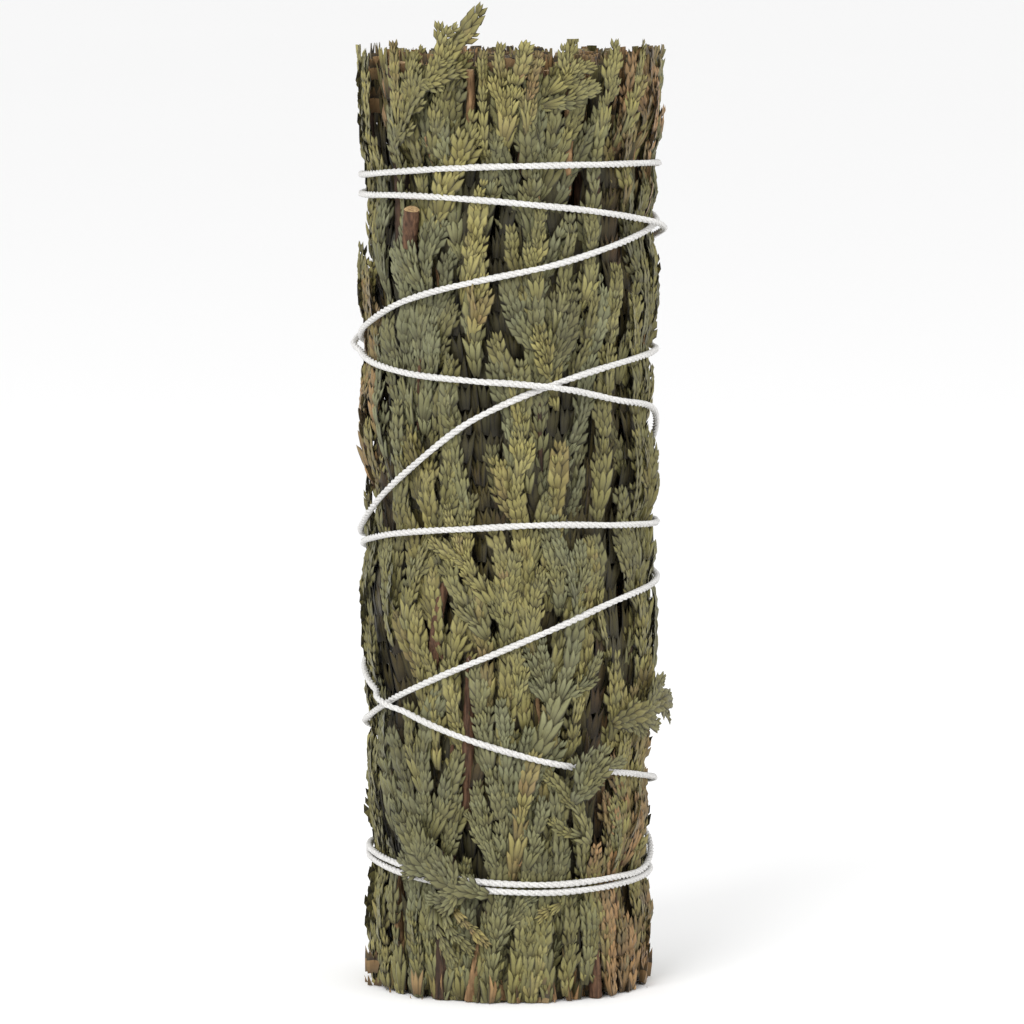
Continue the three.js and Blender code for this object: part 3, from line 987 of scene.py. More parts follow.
@dataclass
class LeafMaker:
    """Makes leaf whorls and sets them on twigs with one Geometry Nodes tree."""

    material: Material
    cut_material: Material
    variants: int = 4
    seed: int = 11
    crease: float = 62.0
    back_inner: float = 0.4
    crumple: float = 0.02
    tree: Tree = field(init=False)
    shelf: bpy.types.Collection = field(init=False)

    def __post_init__(self) -> None:
        """Makes the whorls and the tree."""
        self.shelf = bpy.data.collections.new("leaf_whorls")
        rng = np.random.default_rng(self.seed)
        for kind in WhorlKind:
            for variant in range(self.variants):
                name = f"whorl_{kind.value * self.variants + variant:02d}"
                self.shelf.objects.link(self.whorl(name, kind, rng))
        self.tree = self.leaf_tree()

    def leaves(self, kind: WhorlKind, rng: Rng) -> list[LeafShape]:
        """Returns the leaves of a whorl: one to each side and one on the face.

        Args:
            kind: The whorl's look.
            rng: Source of small differences.

        Returns:
            The leaves.
        """
        left, right = rng.uniform(0.86, 1.12, 2)
        lean = rng.uniform(-0.12, 0.12)
        if kind is WhorlKind.SCALE:
            return [
                LeafShape((-0.16, -1.0, 0.0), (-0.92 * left, 1.0 * left, 0.1), -0.16, 0.5, 0.24),
                LeafShape((0.16, -1.0, 0.0), (0.92 * right, 0.95 * right, 0.1), 0.16, 0.5, 0.24),
                LeafShape((0.0, -0.85, 0.16), (lean, 0.95, 0.3), 0.0, 0.44, 0.26),
            ]
        if kind is WhorlKind.JOINT:
            return [
                LeafShape((-0.18, -1.5, 0.0), (-0.95 * left, 1.4 * left, 0.1), 0.1, 0.42, 0.22, LONG_ROWS),
                LeafShape((0.18, -1.5, 0.0), (0.95 * right, 1.35 * right, 0.1), -0.1, 0.42, 0.22, LONG_ROWS),
                LeafShape((0.0, -1.2, 0.12), (lean, 1.1, 0.28), 0.0, 0.44, 0.24, LONG_ROWS),
            ]
        return [
            LeafShape((-0.3, -1.7, 0.0), (-1.0 * left, 1.9 * left, 0.16), 0.16, 0.42, 0.24),
            LeafShape((0.3, -1.7, 0.0), (1.0 * right, 1.85 * right, 0.16), -0.16, 0.42, 0.24),
            LeafShape((0.0, -1.6, 0.14), (lean, 1.5, 0.3), 0.0, 0.5, 0.26),
        ]

    def whorl(self, name: str, kind: WhorlKind, rng: Rng) -> Piece:
        """Makes one whorl.

        Args:
            name: The whorl's name.
            kind: Its look.
            rng: Source of small differences.

        Returns:
            An object outside the scene.
        """
        joined = Joined()
        along: list[Array] = []
        inner: list[float] = []
        for leaf in self.leaves(kind, rng):
            leaf_points, leaf_faces, leaf_along, leaf_inner = leaf.mesh()
            joined.add(leaf_points + rng.normal(0, self.crumple, leaf_points.shape), leaf_faces)
            along.append(leaf_along)
            for face in leaf_faces:
                corners = leaf_inner[list(face)]
                inner += [self.back_inner] * len(face) if corners.max() == 0 else list(corners)
        made = mesh_object(name, np.concatenate(joined.points), joined.corners)
        made.data.set_sharp_from_angle(angle=math.radians(self.crease))
        bpy.context.collection.objects.unlink(made)
        add_floats(made.data, "along", np.concatenate(along))
        add_floats(made.data, "inner", np.array(inner), "CORNER")
        return made

    def leaf_tree(self) -> Tree:
        """Builds the tree that puts a whorl on each point.

        Returns:
            The tree.
        """
        tree = Tree("leaves_on_twigs")
        tree.add_input("Whorls", "NodeSocketCollection")
        tree.add_input("Fullness", "NodeSocketFloat")
        tree.add_input("Material", "NodeSocketMaterial")
        points = tree.node("GeometryNodeMeshToPoints", {"Mesh": tree.given["Geometry"]})
        kept = {"Collection": tree.given["Whorls"], "Separate Children": True, "Reset Children": True}
        shelf = tree.node("GeometryNodeCollectionInfo", kept)
        turned = {"Euler": tree.attribute("turned", "FLOAT_VECTOR")}
        turn = tree.node("FunctionNodeEulerToRotation", turned)
        drawn = {4: 0, 5: self.variants - 1, "Seed": self.seed}
        pick = tree.node("FunctionNodeRandomValue", drawn, data_type="INT")
        first = tree.maths("MULTIPLY", tree.attribute("kind", "FLOAT"), self.variants)
        fed = {
            "Points": points.outputs["Points"],
            "Instance": shelf.outputs["Instances"],
            "Pick Instance": True,
            "Instance Index": tree.maths("ADD", first, pick.outputs[2]),
            "Rotation": turn.outputs["Rotation"],
            "Scale": tree.vectors("SCALE", tree.attribute("size", "FLOAT_VECTOR"), tree.given["Fullness"]),
        }
        tree.finish(tree.node("GeometryNodeInstanceOnPoints", fed).outputs["Instances"])
        return tree

    def dress(self, name: str, whorls: Whorls, fullness: float = 1.0) -> Piece:
        """Turns laid whorls into one mesh piece.

        Args:
            name: The piece's name.
            whorls: The whorls.
            fullness: Scale of the leaves.

        Returns:
            The piece.
        """
        rows = {key: np.concatenate(parts) for key, parts in whorls.rows.items()}
        source = mesh_object(name + "_points", rows["place"], [])
        for key in ("turned", "size"):
            add_vectors(source.data, key, rows[key])
        for key in ("tone", "shade", "kind"):
            add_floats(source.data, key, rows[key])
        values = {"Whorls": self.shelf, "Fullness": fullness, "Material": self.material}
        return run_tree(source, self.tree, values, name)

    def clear(self) -> None:
        """Removes the loose whorls once every twig is dressed."""
        for made in list(self.shelf.objects):
            bpy.data.objects.remove(made)
        bpy.data.collections.remove(self.shelf)


# Finishes


class Shader(Nodes):
    """A material's node tree in the making."""

    def __init__(self, name: str) -> None:
        """Starts a material with its principled shader.

        Args:
            name: The material's name.
        """
        self.material = bpy.data.materials.new(name)
        self.material.use_nodes = True
        super().__init__(self.material.node_tree)
        self.principled = self.group.nodes["Principled BSDF"]

    def objects_place(self) -> Any:
        """Returns the Object coordinates."""
        return self.node("ShaderNodeTexCoord").outputs["Object"]

    def height(self) -> Any:
        """Returns the height above the floor."""
        return self.node("ShaderNodeSeparateXYZ", {"Vector": self.objects_place()}).outputs["Z"]

    def attribute(self, name: str) -> Any:
        """Returns a number stored on the mesh."""
        return self.node("ShaderNodeAttribute", attribute_name=name).outputs["Fac"]

    def noise(self, scale: float, detail: float = 3.0, place: Any = None, stretch: Any = None) -> Any:
        """Returns a noise pattern's value.

        Args:
            scale: Its scale in turns a metre.
            detail: How many finer layers it has.
            place: The coordinates it reads, Object coordinates by default.
            stretch: Scales along x, y and z, where the pattern is drawn out.

        Returns:
            The value's socket.
        """
        place = place or self.objects_place()
        if stretch:
            place = self.node("ShaderNodeMapping", {"Vector": place, "Scale": stretch}).outputs["Vector"]
        fed = {"Vector": place, "Scale": scale, "Detail": detail}
        return self.node("ShaderNodeTexNoise", fed).outputs["Fac"]

    def ramp(self, value: Any, stops: Sequence[tuple[float, Colour]]) -> Any:
        """Returns a colour ramp's colour at a value.

        Args:
            value: The value's socket.
            stops: Places on the ramp, each with its colour.

        Returns:
            The colour's socket.
        """
        made = self.node("ShaderNodeValToRGB", {"Fac": value})
        elements = made.color_ramp.elements
        while len(elements) < len(stops):
            elements.new(0.5)
        for element, (place, colour) in zip(elements, stops):
            element.position = place
            element.color = (*colour, 1.0)
        return made.outputs["Color"]

    def spread(self, value: Any, low: float, high: float) -> Any:
        """Returns a value from 0 to 1 spread from low to high.

        Args:
            value: The value's socket.
            low: What 0 becomes.
            high: What 1 becomes.

        Returns:
            The new value's socket.
        """
        fed = {"Value": value, "To Min": low, "To Max": high}
        return self.node("ShaderNodeMapRange", fed).outputs["Result"]

    def blend(self, share: Any, first: Any, second: Any, mode: str = "MIX") -> Any:
        """Returns two colours mixed.

        Args:
            share: How much of the second colour is taken.
            first: The first colour.
            second: The second colour.
            mode: Blender's name for the way they mix.

        Returns:
            The colour's socket.
        """
        fed = {"Factor": share, 6: first, 7: second}
        return self.node("ShaderNodeMix", fed, data_type="RGBA", blend_type=mode).outputs[2]

    def bump(self, height: Any, distance: float, strength: float) -> None:
        """Raises the surface by a pattern.

        Args:
            height: The pattern's socket.
            distance: How far its highest places stand out.
            strength: How strongly it shows.
        """
        made = self.node("ShaderNodeBump", {"Strength": strength, "Distance": distance, "Height": height})
        self.feed(self.principled.inputs["Normal"], made.outputs["Normal"])

    def finish(self, colour: Any, roughness: Any, specular: float, sheen: float = 0.0) -> Material:
        """Sets the main inputs.

        Args:
            colour: The base colour.
            roughness: The roughness.
            specular: How strongly it mirrors light.
            sheen: How much fine fuzz it shows.

        Returns:
            The material.
        """
        fed = {
            "Base Color": colour,
            "Roughness": roughness,
            "Specular IOR Level": specular,
            "Sheen Weight": sheen,
        }
        for name, value in fed.items():
            self.feed(self.principled.inputs[name], value)
        return self.material


@dataclass(frozen=True)
class LeafFinish:
    """Dried scale leaves: matt with a faint waxy sheen, darker at the foot and yellower at the tip; the
    darker foot is partly painted shade, as are the dark leaf borders and the deep twigs, and painted light
    lifts deep leaves at the top rim.
    """

    grey_green: Colour = (0.118, 0.121, 0.062)
    olive: Colour = (0.132, 0.122, 0.042)
    yellow_green: Colour = (0.196, 0.174, 0.056)
    brown: Colour = (0.142, 0.098, 0.038)
    tan: Colour = (0.235, 0.138, 0.058)
    dusty: Colour = (0.255, 0.248, 0.160)
    # Partly painted shade: each leaf darkens towards its foot, where the whorl below overlaps it; the
    # lighter, yellower tip is partly its own colour.
    tipward: tuple[tuple[float, Colour], ...] = (
        (0.0, (0.34, 0.30, 0.20)),
        (0.45, (0.93, 0.92, 0.89)),
        (1.0, (1.36, 1.36, 1.36)),
    )
    # Painted shade and painted highlight: dark at every leaf's border, where shadow falls between leaves,
    # with a lighter band just inside it.
    border: tuple[tuple[float, Colour], ...] = (
        (0.0, (0.04, 0.03, 0.015)),
        (0.2, (0.34, 0.31, 0.22)),
        (0.38, (0.88, 0.87, 0.83)),
        (0.6, (1.14, 1.13, 1.10)),
        (1.0, (1.02, 1.02, 1.0)),
    )
    # Painted shade: low shade values give a darker, warmer colour to the deep twigs; values near 1 vary the
    # brightness at random.
    shades: tuple[tuple[float, Colour], ...] = (
        (0.0, (0.0, 0.0, 0.0)),
        (0.3, (0.30, 0.26, 0.14)),
        (0.56, (0.70, 0.67, 0.58)),
        (0.8, (1.0, 1.0, 1.0)),
        (1.0, (1.25, 1.25, 1.25)),
    )
    most_shade: float = 1.25
    foot_tone: float = 0.22
    foot_reach: float = 0.016
    rim_from: float = 0.130
    rim_tone: float = 0.16
    # Painted light: the least brightness of deep leaves near the top rim.
    rim_painted_light: float = 0.85
    roughness: tuple[float, float] = (0.5, 0.72)

    def build(self) -> Material:
        """Returns the material."""
        shader = Shader("leaf")
        tone = shader.maths("ADD", shader.attribute("tone"), shader.spread(shader.noise(140), -0.24, 0.24))
        foot = ((0.0, self.foot_tone), (self.foot_reach, 0.0))
        rim = ((self.rim_from, 0.0), (BUNDLE_HEIGHT, self.rim_tone))
        browned = [(place, (value,) * 3) for place, value in foot + rim]
        height = shader.height()
        tone = shader.maths("ADD", tone, shader.ramp(height, browned))
        stops = (
            (0.0, self.grey_green),
            (0.36, self.olive),
            (0.62, self.yellow_green),
            (0.86, self.brown),
            (1.0, self.tan),
        )
        colour = shader.ramp(tone, stops)
        # Painted shade: each leaf is darker towards its foot, partly, and dark along its border with a
        # painted highlight band inside.
        for name, ramp in (("along", self.tipward), ("inner", self.border)):
            colour = shader.blend(1.0, colour, shader.ramp(shader.attribute(name), ramp), "MULTIPLY")
        bloom = shader.maths("MULTIPLY", shader.spread(shader.noise(260, 2), -0.35, 0.6), 0.42)
        colour = shader.blend(shader.maths("MAXIMUM", bloom, 0.0), colour, (*self.dusty, 1.0))
        # Painted light: deep leaves are lifted towards the top rim, where light reaches in.
        rim = ((self.rim_from, (0.0,) * 3), (BUNDLE_HEIGHT, (self.rim_painted_light,) * 3))
        lit = shader.ramp(height, rim)
        shade = shader.maths("MAXIMUM", shader.attribute("shade"), lit)
        shade = shader.maths("DIVIDE", shade, self.most_shade)
        # Painted shade on deep twigs, from their low shade values.
        colour = shader.blend(1.0, colour, shader.ramp(shade, self.shades), "MULTIPLY")
        mottle = shader.spread(shader.noise(900, 4), 0.75, 1.25)
        colour = shader.vectors("SCALE", colour, mottle)
        shader.bump(shader.noise(2600, 3), 0.12 * MM, 0.5)
        return shader.finish(colour, shader.spread(shader.noise(500), *self.roughness), 0.35, 0.08)


@dataclass(frozen=True)
class BarkFinish:
    """Thin flaky bark on a woody stem, its grain drawn out along the stem."""

    name: str
    dark: Colour
    light: Colour
    grain: tuple[float, float, float] = (1.0, 1.0, 0.12)

    def build(self) -> Material:
        """Returns the material."""
        shader = Shader(self.name)
        strands = shader.noise(2300, 4, stretch=self.grain)
        flakes = shader.noise(700, 3, stretch=(1.0, 1.0, 0.35))
        colour = shader.ramp(strands, ((0.3, self.dark), (0.68, self.light)))
        colour = shader.vectors("SCALE", colour, shader.spread(flakes, 0.6, 1.35))
        shader.bump(strands, 0.3 * MM, 0.8)
        return shader.finish(colour, shader.spread(flakes, 0.62, 0.9), 0.3)


@dataclass(frozen=True)
class CutWoodFinish:
    """A cut across a stem or a leafy twig: pale, with a fine dark grain."""

    name: str = "cut_wood"
    pale: Colour = (0.46, 0.32, 0.16)
    dark: Colour = (0.20, 0.11, 0.05)

    def build(self) -> Material:
        """Returns the material."""
        shader = Shader(self.name)
        grain = shader.noise(3200, 4)
        colour = shader.ramp(grain, ((0.32, self.dark), (0.6, self.pale)))
        shader.bump(grain, 0.2 * MM, 0.6)
        return shader.finish(colour, 0.8, 0.3)


@dataclass(frozen=True)
class CottonFinish:
    """Spun white cotton, with painted shade: slightly grey where its fibres lie deeper."""

    white: Colour = (0.70, 0.69, 0.67)
    shaded: Colour = (0.48, 0.47, 0.45)

    def build(self) -> Material:
        """Returns the material."""
        shader = Shader("cotton")
        fibres = shader.noise(5200, 3, stretch=(1.0, 1.0, 0.4))
        # Painted shade: the fibres that lie deeper are greyer.
        colour = shader.ramp(fibres, ((0.28, self.shaded), (0.6, self.white)))
        shader.bump(fibres, 0.1 * MM, 0.5)
        return shader.finish(colour, shader.spread(fibres, 0.95, 0.8), 0.2, 0.25)


@dataclass(frozen=True)
class FloorFinish:
    """A plain pale studio floor."""

    colour: Colour = (0.93, 0.93, 0.93)

    def build(self) -> Material:
        """Returns the material."""
        shader = Shader("floor")
        tint = shader.vectors("SCALE", self.colour, shader.spread(shader.noise(3), 0.995, 1.005))
        return shader.finish(tint, 0.9, 0.2)


def ride(piece: Piece, slot: Slot, *nodes: str) -> Piece:
    """Binds a piece to the bundle and hides the solids that it replaces.

    Args:
        piece: The piece.
        slot: A slot of the record; not used.
        *nodes: The nodes of the solid model that it replaces.

    Returns:
        The piece.
    """
    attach(piece, BODY)
    if nodes:
        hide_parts(*nodes)
    LOG.info("%s: %d faces", piece.name, len(piece.data.polygons))
    return piece


def cut_ends(piece: Piece, top: float, material: Material) -> None:
    """Cuts a piece off level at the foot and at the top, and closes every cut with a face of its own finish.

    Args:
        piece: The piece.
        top: Height of the upper cut.
        material: The finish of the cut faces.
    """
    piece.data.materials.append(material)
    shape = bmesh.new()
    shape.from_mesh(piece.data)
    for height, way in ((FOOT_CUT, -1), (top, 1)):
        if max((vertex.co.z - height) * way for vertex in shape.verts) <= 0:
            continue
        everything = [*shape.verts, *shape.edges, *shape.faces]
        cut = bmesh.ops.bisect_plane(
            shape, geom=everything, plane_co=(0, 0, height), plane_no=(0, 0, way), clear_outer=True
        )
        rims = [item for item in cut["geom_cut"] if isinstance(item, bmesh.types.BMEdge)]
        for face in bmesh.ops.holes_fill(shape, edges=rims)["faces"]:
            face.material_index = 1
            face.smooth = False
    shape.to_mesh(piece.data)
    shape.free()


# Leafy sub-assemblies


@dataclass
class PressedSprays:
    """The outer sprays and the inner sprigs, each node dressed with fine leafy twigs."""

    surface: BundleSurface
    maker: LeafMaker
    leaf_size: float = 1.32 * MM
    joint_size: float = 1.5 * MM
    joint_share: float = 0.5
    side_twigs: SideTwigs = SideTwigs(2.7 * MM, 7.0 * MM, 20.0)
    tone_spread: float = 0.13
    lifts: tuple[float, float] = (-0.45, 0.55)
    shades: tuple[float, float] = (0.78, 1.15)
    partner_ahead: float = 0.09
    partner_length: float = 0.82
    partner_lean: float = 1.1
    inner_size: float = 1.5 * MM
    inner_twigs: SideTwigs = SideTwigs(5.0 * MM, 11.0 * MM, 24.0, 1.6 * MM, 0.55)
    backing: int = 10
    backing_size: float = 1.3 * MM
    backing_depths: tuple[float, float] = (0.0021, 0.0036)
    backing_wave: float = 0.05
    backing_climb: float = 7 * MM
    # Painted shade: the backing twigs and the inner sprigs are darkened by this share.
    backing_painted_shade: float = 0.32
    uppers: int = 6
    upper_start: tuple[float, float] = (0.08, 0.72)
    upper_length: tuple[float, float] = (0.013, 0.026)
    upper_lean: float = 13.0
    upper_shades: tuple[float, float] = (0.9, 1.18)
    upper_depths: tuple[float, ...] = (0.0019, 0.0010, 0.0007, 0.0005)
    foot_uppers: int = 7
    foot_start: tuple[float, float] = (-0.007, 0.004)
    foot_depths: tuple[float, ...] = (0.0012, 0.0009, 0.0006, 0.0006)
    upper_twigs: SideTwigs = SideTwigs(2.3 * MM, 5.2 * MM, 22.0)
    feet: tuple[float, float] = (-0.0015, 0.0030)
    rim_rise: tuple[float, float] = (-0.0015, 0.0028)
    rim_level: float = 2.2 * MM
    edge_give: float = 0.3

    def strand(self, spray: Spray, place: Any, share: Array, lift: float, tone: float) -> Strand:
        """Returns the strand that follows one of a spray's lines.

        Args:
            spray: The spray.
            place: Gives turns and heights at shares of the line.
            share: The shares that are wanted.
            lift: How far it lies above the spray's own depth.
            tone: Place on the leaf colour ramp.

        Returns:
            The strand.
        """
        turn, height = place(share)
        across = np.radians(turn) * BUNDLE_RADIUS
        return Strand(across, height, spray.depth(height) - lift, self.leaf_size, tone)

    def main_strands(self, spray: Spray, tone: float, rng: Rng) -> list[Strand]:
        """Returns the stem, the branchlets of the solid and a partner across the stem from each.

        Args:
            spray: The spray.
            tone: Its place on the leaf colour ramp.
            rng: Source of small differences.

        Returns:
            The strands.
        """
        strands = [self.strand(spray, spray.stem, np.linspace(0.0, 1.0, 30), 0.0, tone)]
        share = np.linspace(0.03, 1.0, 14)
        for branchlet in spray.branchlets:
            partner = Branchlet(
                -branchlet.side,
                branchlet.share + self.partner_ahead * rng.uniform(0.5, 1.5),
                branchlet.length * self.partner_length * rng.uniform(0.8, 1.15),
                branchlet.lean * self.partner_lean,
            )
            for leaning in (branchlet, partner):
                own_tone = tone + rng.normal(0, self.tone_spread)
                lift = rng.uniform(*self.lifts) * MM
                line = self.strand(spray, lambda s, b=leaning: spray.branchlet(b, s), share, lift, own_tone)
                line.shade = rng.uniform(*self.shades)
                strands.append(line)
        return strands

    def backing_strands(self, spray: Spray, tone: float, rng: Rng) -> list[Strand]:
        """Returns deeper twigs behind a spray, darkened with painted shade, which close the gaps between its
        branchlets.

        Args:
            spray: The spray.
            tone: Its place on the leaf colour ramp.
            rng: Source of small differences.

        Returns:
            The strands.
        """
        strands = []
        for index in range(self.backing):
            height = np.linspace(spray.start, spray.start + spray.style.length, 16)
            place = (index + 0.5) / self.backing + rng.normal(0, 0.03)
            share = place + self.backing_wave * np.sin(height / self.backing_climb + index)
            turn = mix(column_edge(spray.column, height), column_edge(spray.column + 1, height), share)
            depth = np.full(len(height), rng.uniform(*self.backing_depths))
            across = np.radians(turn) * BUNDLE_RADIUS
            shade = self.backing_painted_shade * rng.uniform(0.8, 1.25)
            own_tone = tone + rng.normal(0.05, 0.15)
            strands.append(Strand(across, height, depth, self.backing_size, own_tone, shade, WhorlKind.DEEP))
        return strands

    def upper_strand(
        self, spray: Spray, place: float, base: float, depths: Sequence[float], rng: Rng
    ) -> Strand:
        """Returns one short twig that lies over a spray.

        Args:
            spray: The spray.
            place: Where its root stands, from 0 at the column's left edge to 1 at the right.
            base: Height of its root.
            depths: Depths at even steps from its root to its tip.
            rng: Source of its length, its lean and its shade.

        Returns:
            The twig; its tone is added by the caller.
        """
        length = rng.uniform(*self.upper_length)
        run = np.linspace(0, length, 14)
        lean = math.radians(rng.uniform(-1, 1) * self.upper_lean)
        height = base + run * math.cos(lean)
        turn = mix(column_edge(spray.column, height), column_edge(spray.column + 1, height), place)
        across = np.radians(turn) * BUNDLE_RADIUS + run * math.sin(lean) * (1 - 0.3 * run / length)
        depth = np.interp(run / length, np.linspace(0, 1, len(depths)), depths)
        tone = rng.normal(0.02, self.tone_spread)
        return Strand(across, height, depth, self.leaf_size, tone, rng.uniform(*self.upper_shades))

    def upper_strands(self, spray: Spray, tone: float, rng: Rng) -> list[Strand]:
        """Returns the short twigs that lie over a spray.

        Args:
            spray: The spray.
            tone: Its place on the leaf colour ramp.
            rng: Source of small differences.

        Returns:
            Some with feet tucked in and, at the bundle's foot, some that are cut off there.
        """
        strands = []
        for index in range(self.uppers):
            base = spray.start + spray.style.length * rng.uniform(*self.upper_start)
            place = (index + rng.uniform(0.15, 0.85)) / self.uppers
            strands.append(self.upper_strand(spray, place, base, self.upper_depths, rng))
        if spray.start <= 0:
            for index in range(self.foot_uppers):
                place = (index + rng.uniform(0.2, 0.8)) / self.foot_uppers
                base = rng.uniform(*self.foot_start)
                strands.append(self.upper_strand(spray, place, base, self.foot_depths, rng))
        for strand in strands:
            strand.tone += tone
        return strands

    def outer_strands(self, spray: Spray, tone: float, rng: Rng) -> Iterable[Strand]:
        """Yields every twig of an outer spray.

        Args:
            spray: The spray.
            tone: Its place on the leaf colour ramp.
            rng: Source of small differences.

        Yields:
            The strands.
        """
        yield from self.backing_strands(spray, tone, rng)
        for strand in self.main_strands(spray, tone, rng):
            yield from strand.side_strands(rng, self.side_twigs)
            yield from strand.halves(self.joint_share, self.joint_size)
        for strand in self.upper_strands(spray, tone, rng):
            yield from strand.side_strands(rng, self.upper_twigs)
            yield from strand.halves(self.joint_share, self.joint_size)

    def inner_strands(self, spray: Spray, tone: float, rng: Rng) -> Iterable[Strand]:
        """Yields every twig of an inner sprig.

        Args:
            spray: The spray.
            tone: Its place on the leaf colour ramp.
            rng: Source of small differences.

        Yields:
            The strands.
        """
        for strand in self.main_strands(spray, tone, rng):
            strand.size = self.inner_size
            for one in [strand, *strand.side_strands(rng, self.inner_twigs)]:
                one.kind = WhorlKind.DEEP
                # Painted shade on the inner sprigs, deep in the bundle.
                one.shade *= self.backing_painted_shade
                yield one

    def build_spray(self, name: str, node: str, spray: Spray, tone: Tone, strands: Callable) -> None:
        """Dresses one spray.

        Args:
            name: The piece's name.
            node: The node that it replaces.
            spray: The spray's layout.
            tone: Its leaves' look.
            strands: Yields its twigs.
        """
        rng = np.random.default_rng(spray.seed + 5)
        whorls = Whorls(rng)
        for strand in strands(spray, tone.value, rng):
            margin = rng.uniform(-1.0, 1.2) * strand.size
            turn = spray.kept(strand.turn, strand.height, margin, self.edge_give)
            twig = strand.twig(self.surface, turn)
            whorls.lay(twig, rng.uniform(*self.feet), spray.cut + rng.uniform(*self.rim_rise))
        piece = self.maker.dress(name, whorls)
        cut_ends(piece, spray.cut + self.rim_level, self.maker.cut_material)
        ride(piece, TONE_SLOTS[tone], node)

    def build(self) -> None:
        """Dresses every outer spray and every inner sprig."""
        for column in range(COLUMNS):
            for tier, spray in outer_sprays(column):
                tone = SPRAY_TONES[(5 * column + 2 * tier) % len(SPRAY_TONES)]
                label = f"{column + 1}_{tier + 1}"
                names = f"leaves_outer_{label}", f"outer_spray_{label}"
                self.build_spray(*names, spray, tone, self.outer_strands)
            sprig = Spray(INNER, column + 0.5, -OVERRUN, INNER_SEED + column)
            name = f"inner_sprig_{column + 1}"
            self.build_spray(f"leaves_{name}", name, sprig, Tone.OLIVE, self.inner_strands)


@dataclass(frozen=True)
class LaidSpray:
    """A leafy twig that lies over the pressed sprays.

    Attributes:
        width: Half the width of its joints, in millimetres.
        twigs: Length of its longest side twigs, in millimetres.
        depth: Depth of its upper part below the surface, in millimetres.
        places: Turns in degrees and heights in millimetres on its centre line, from its root.
    """

    width: float
    twigs: float
    depth: float
    places: tuple[tuple[float, float], ...]


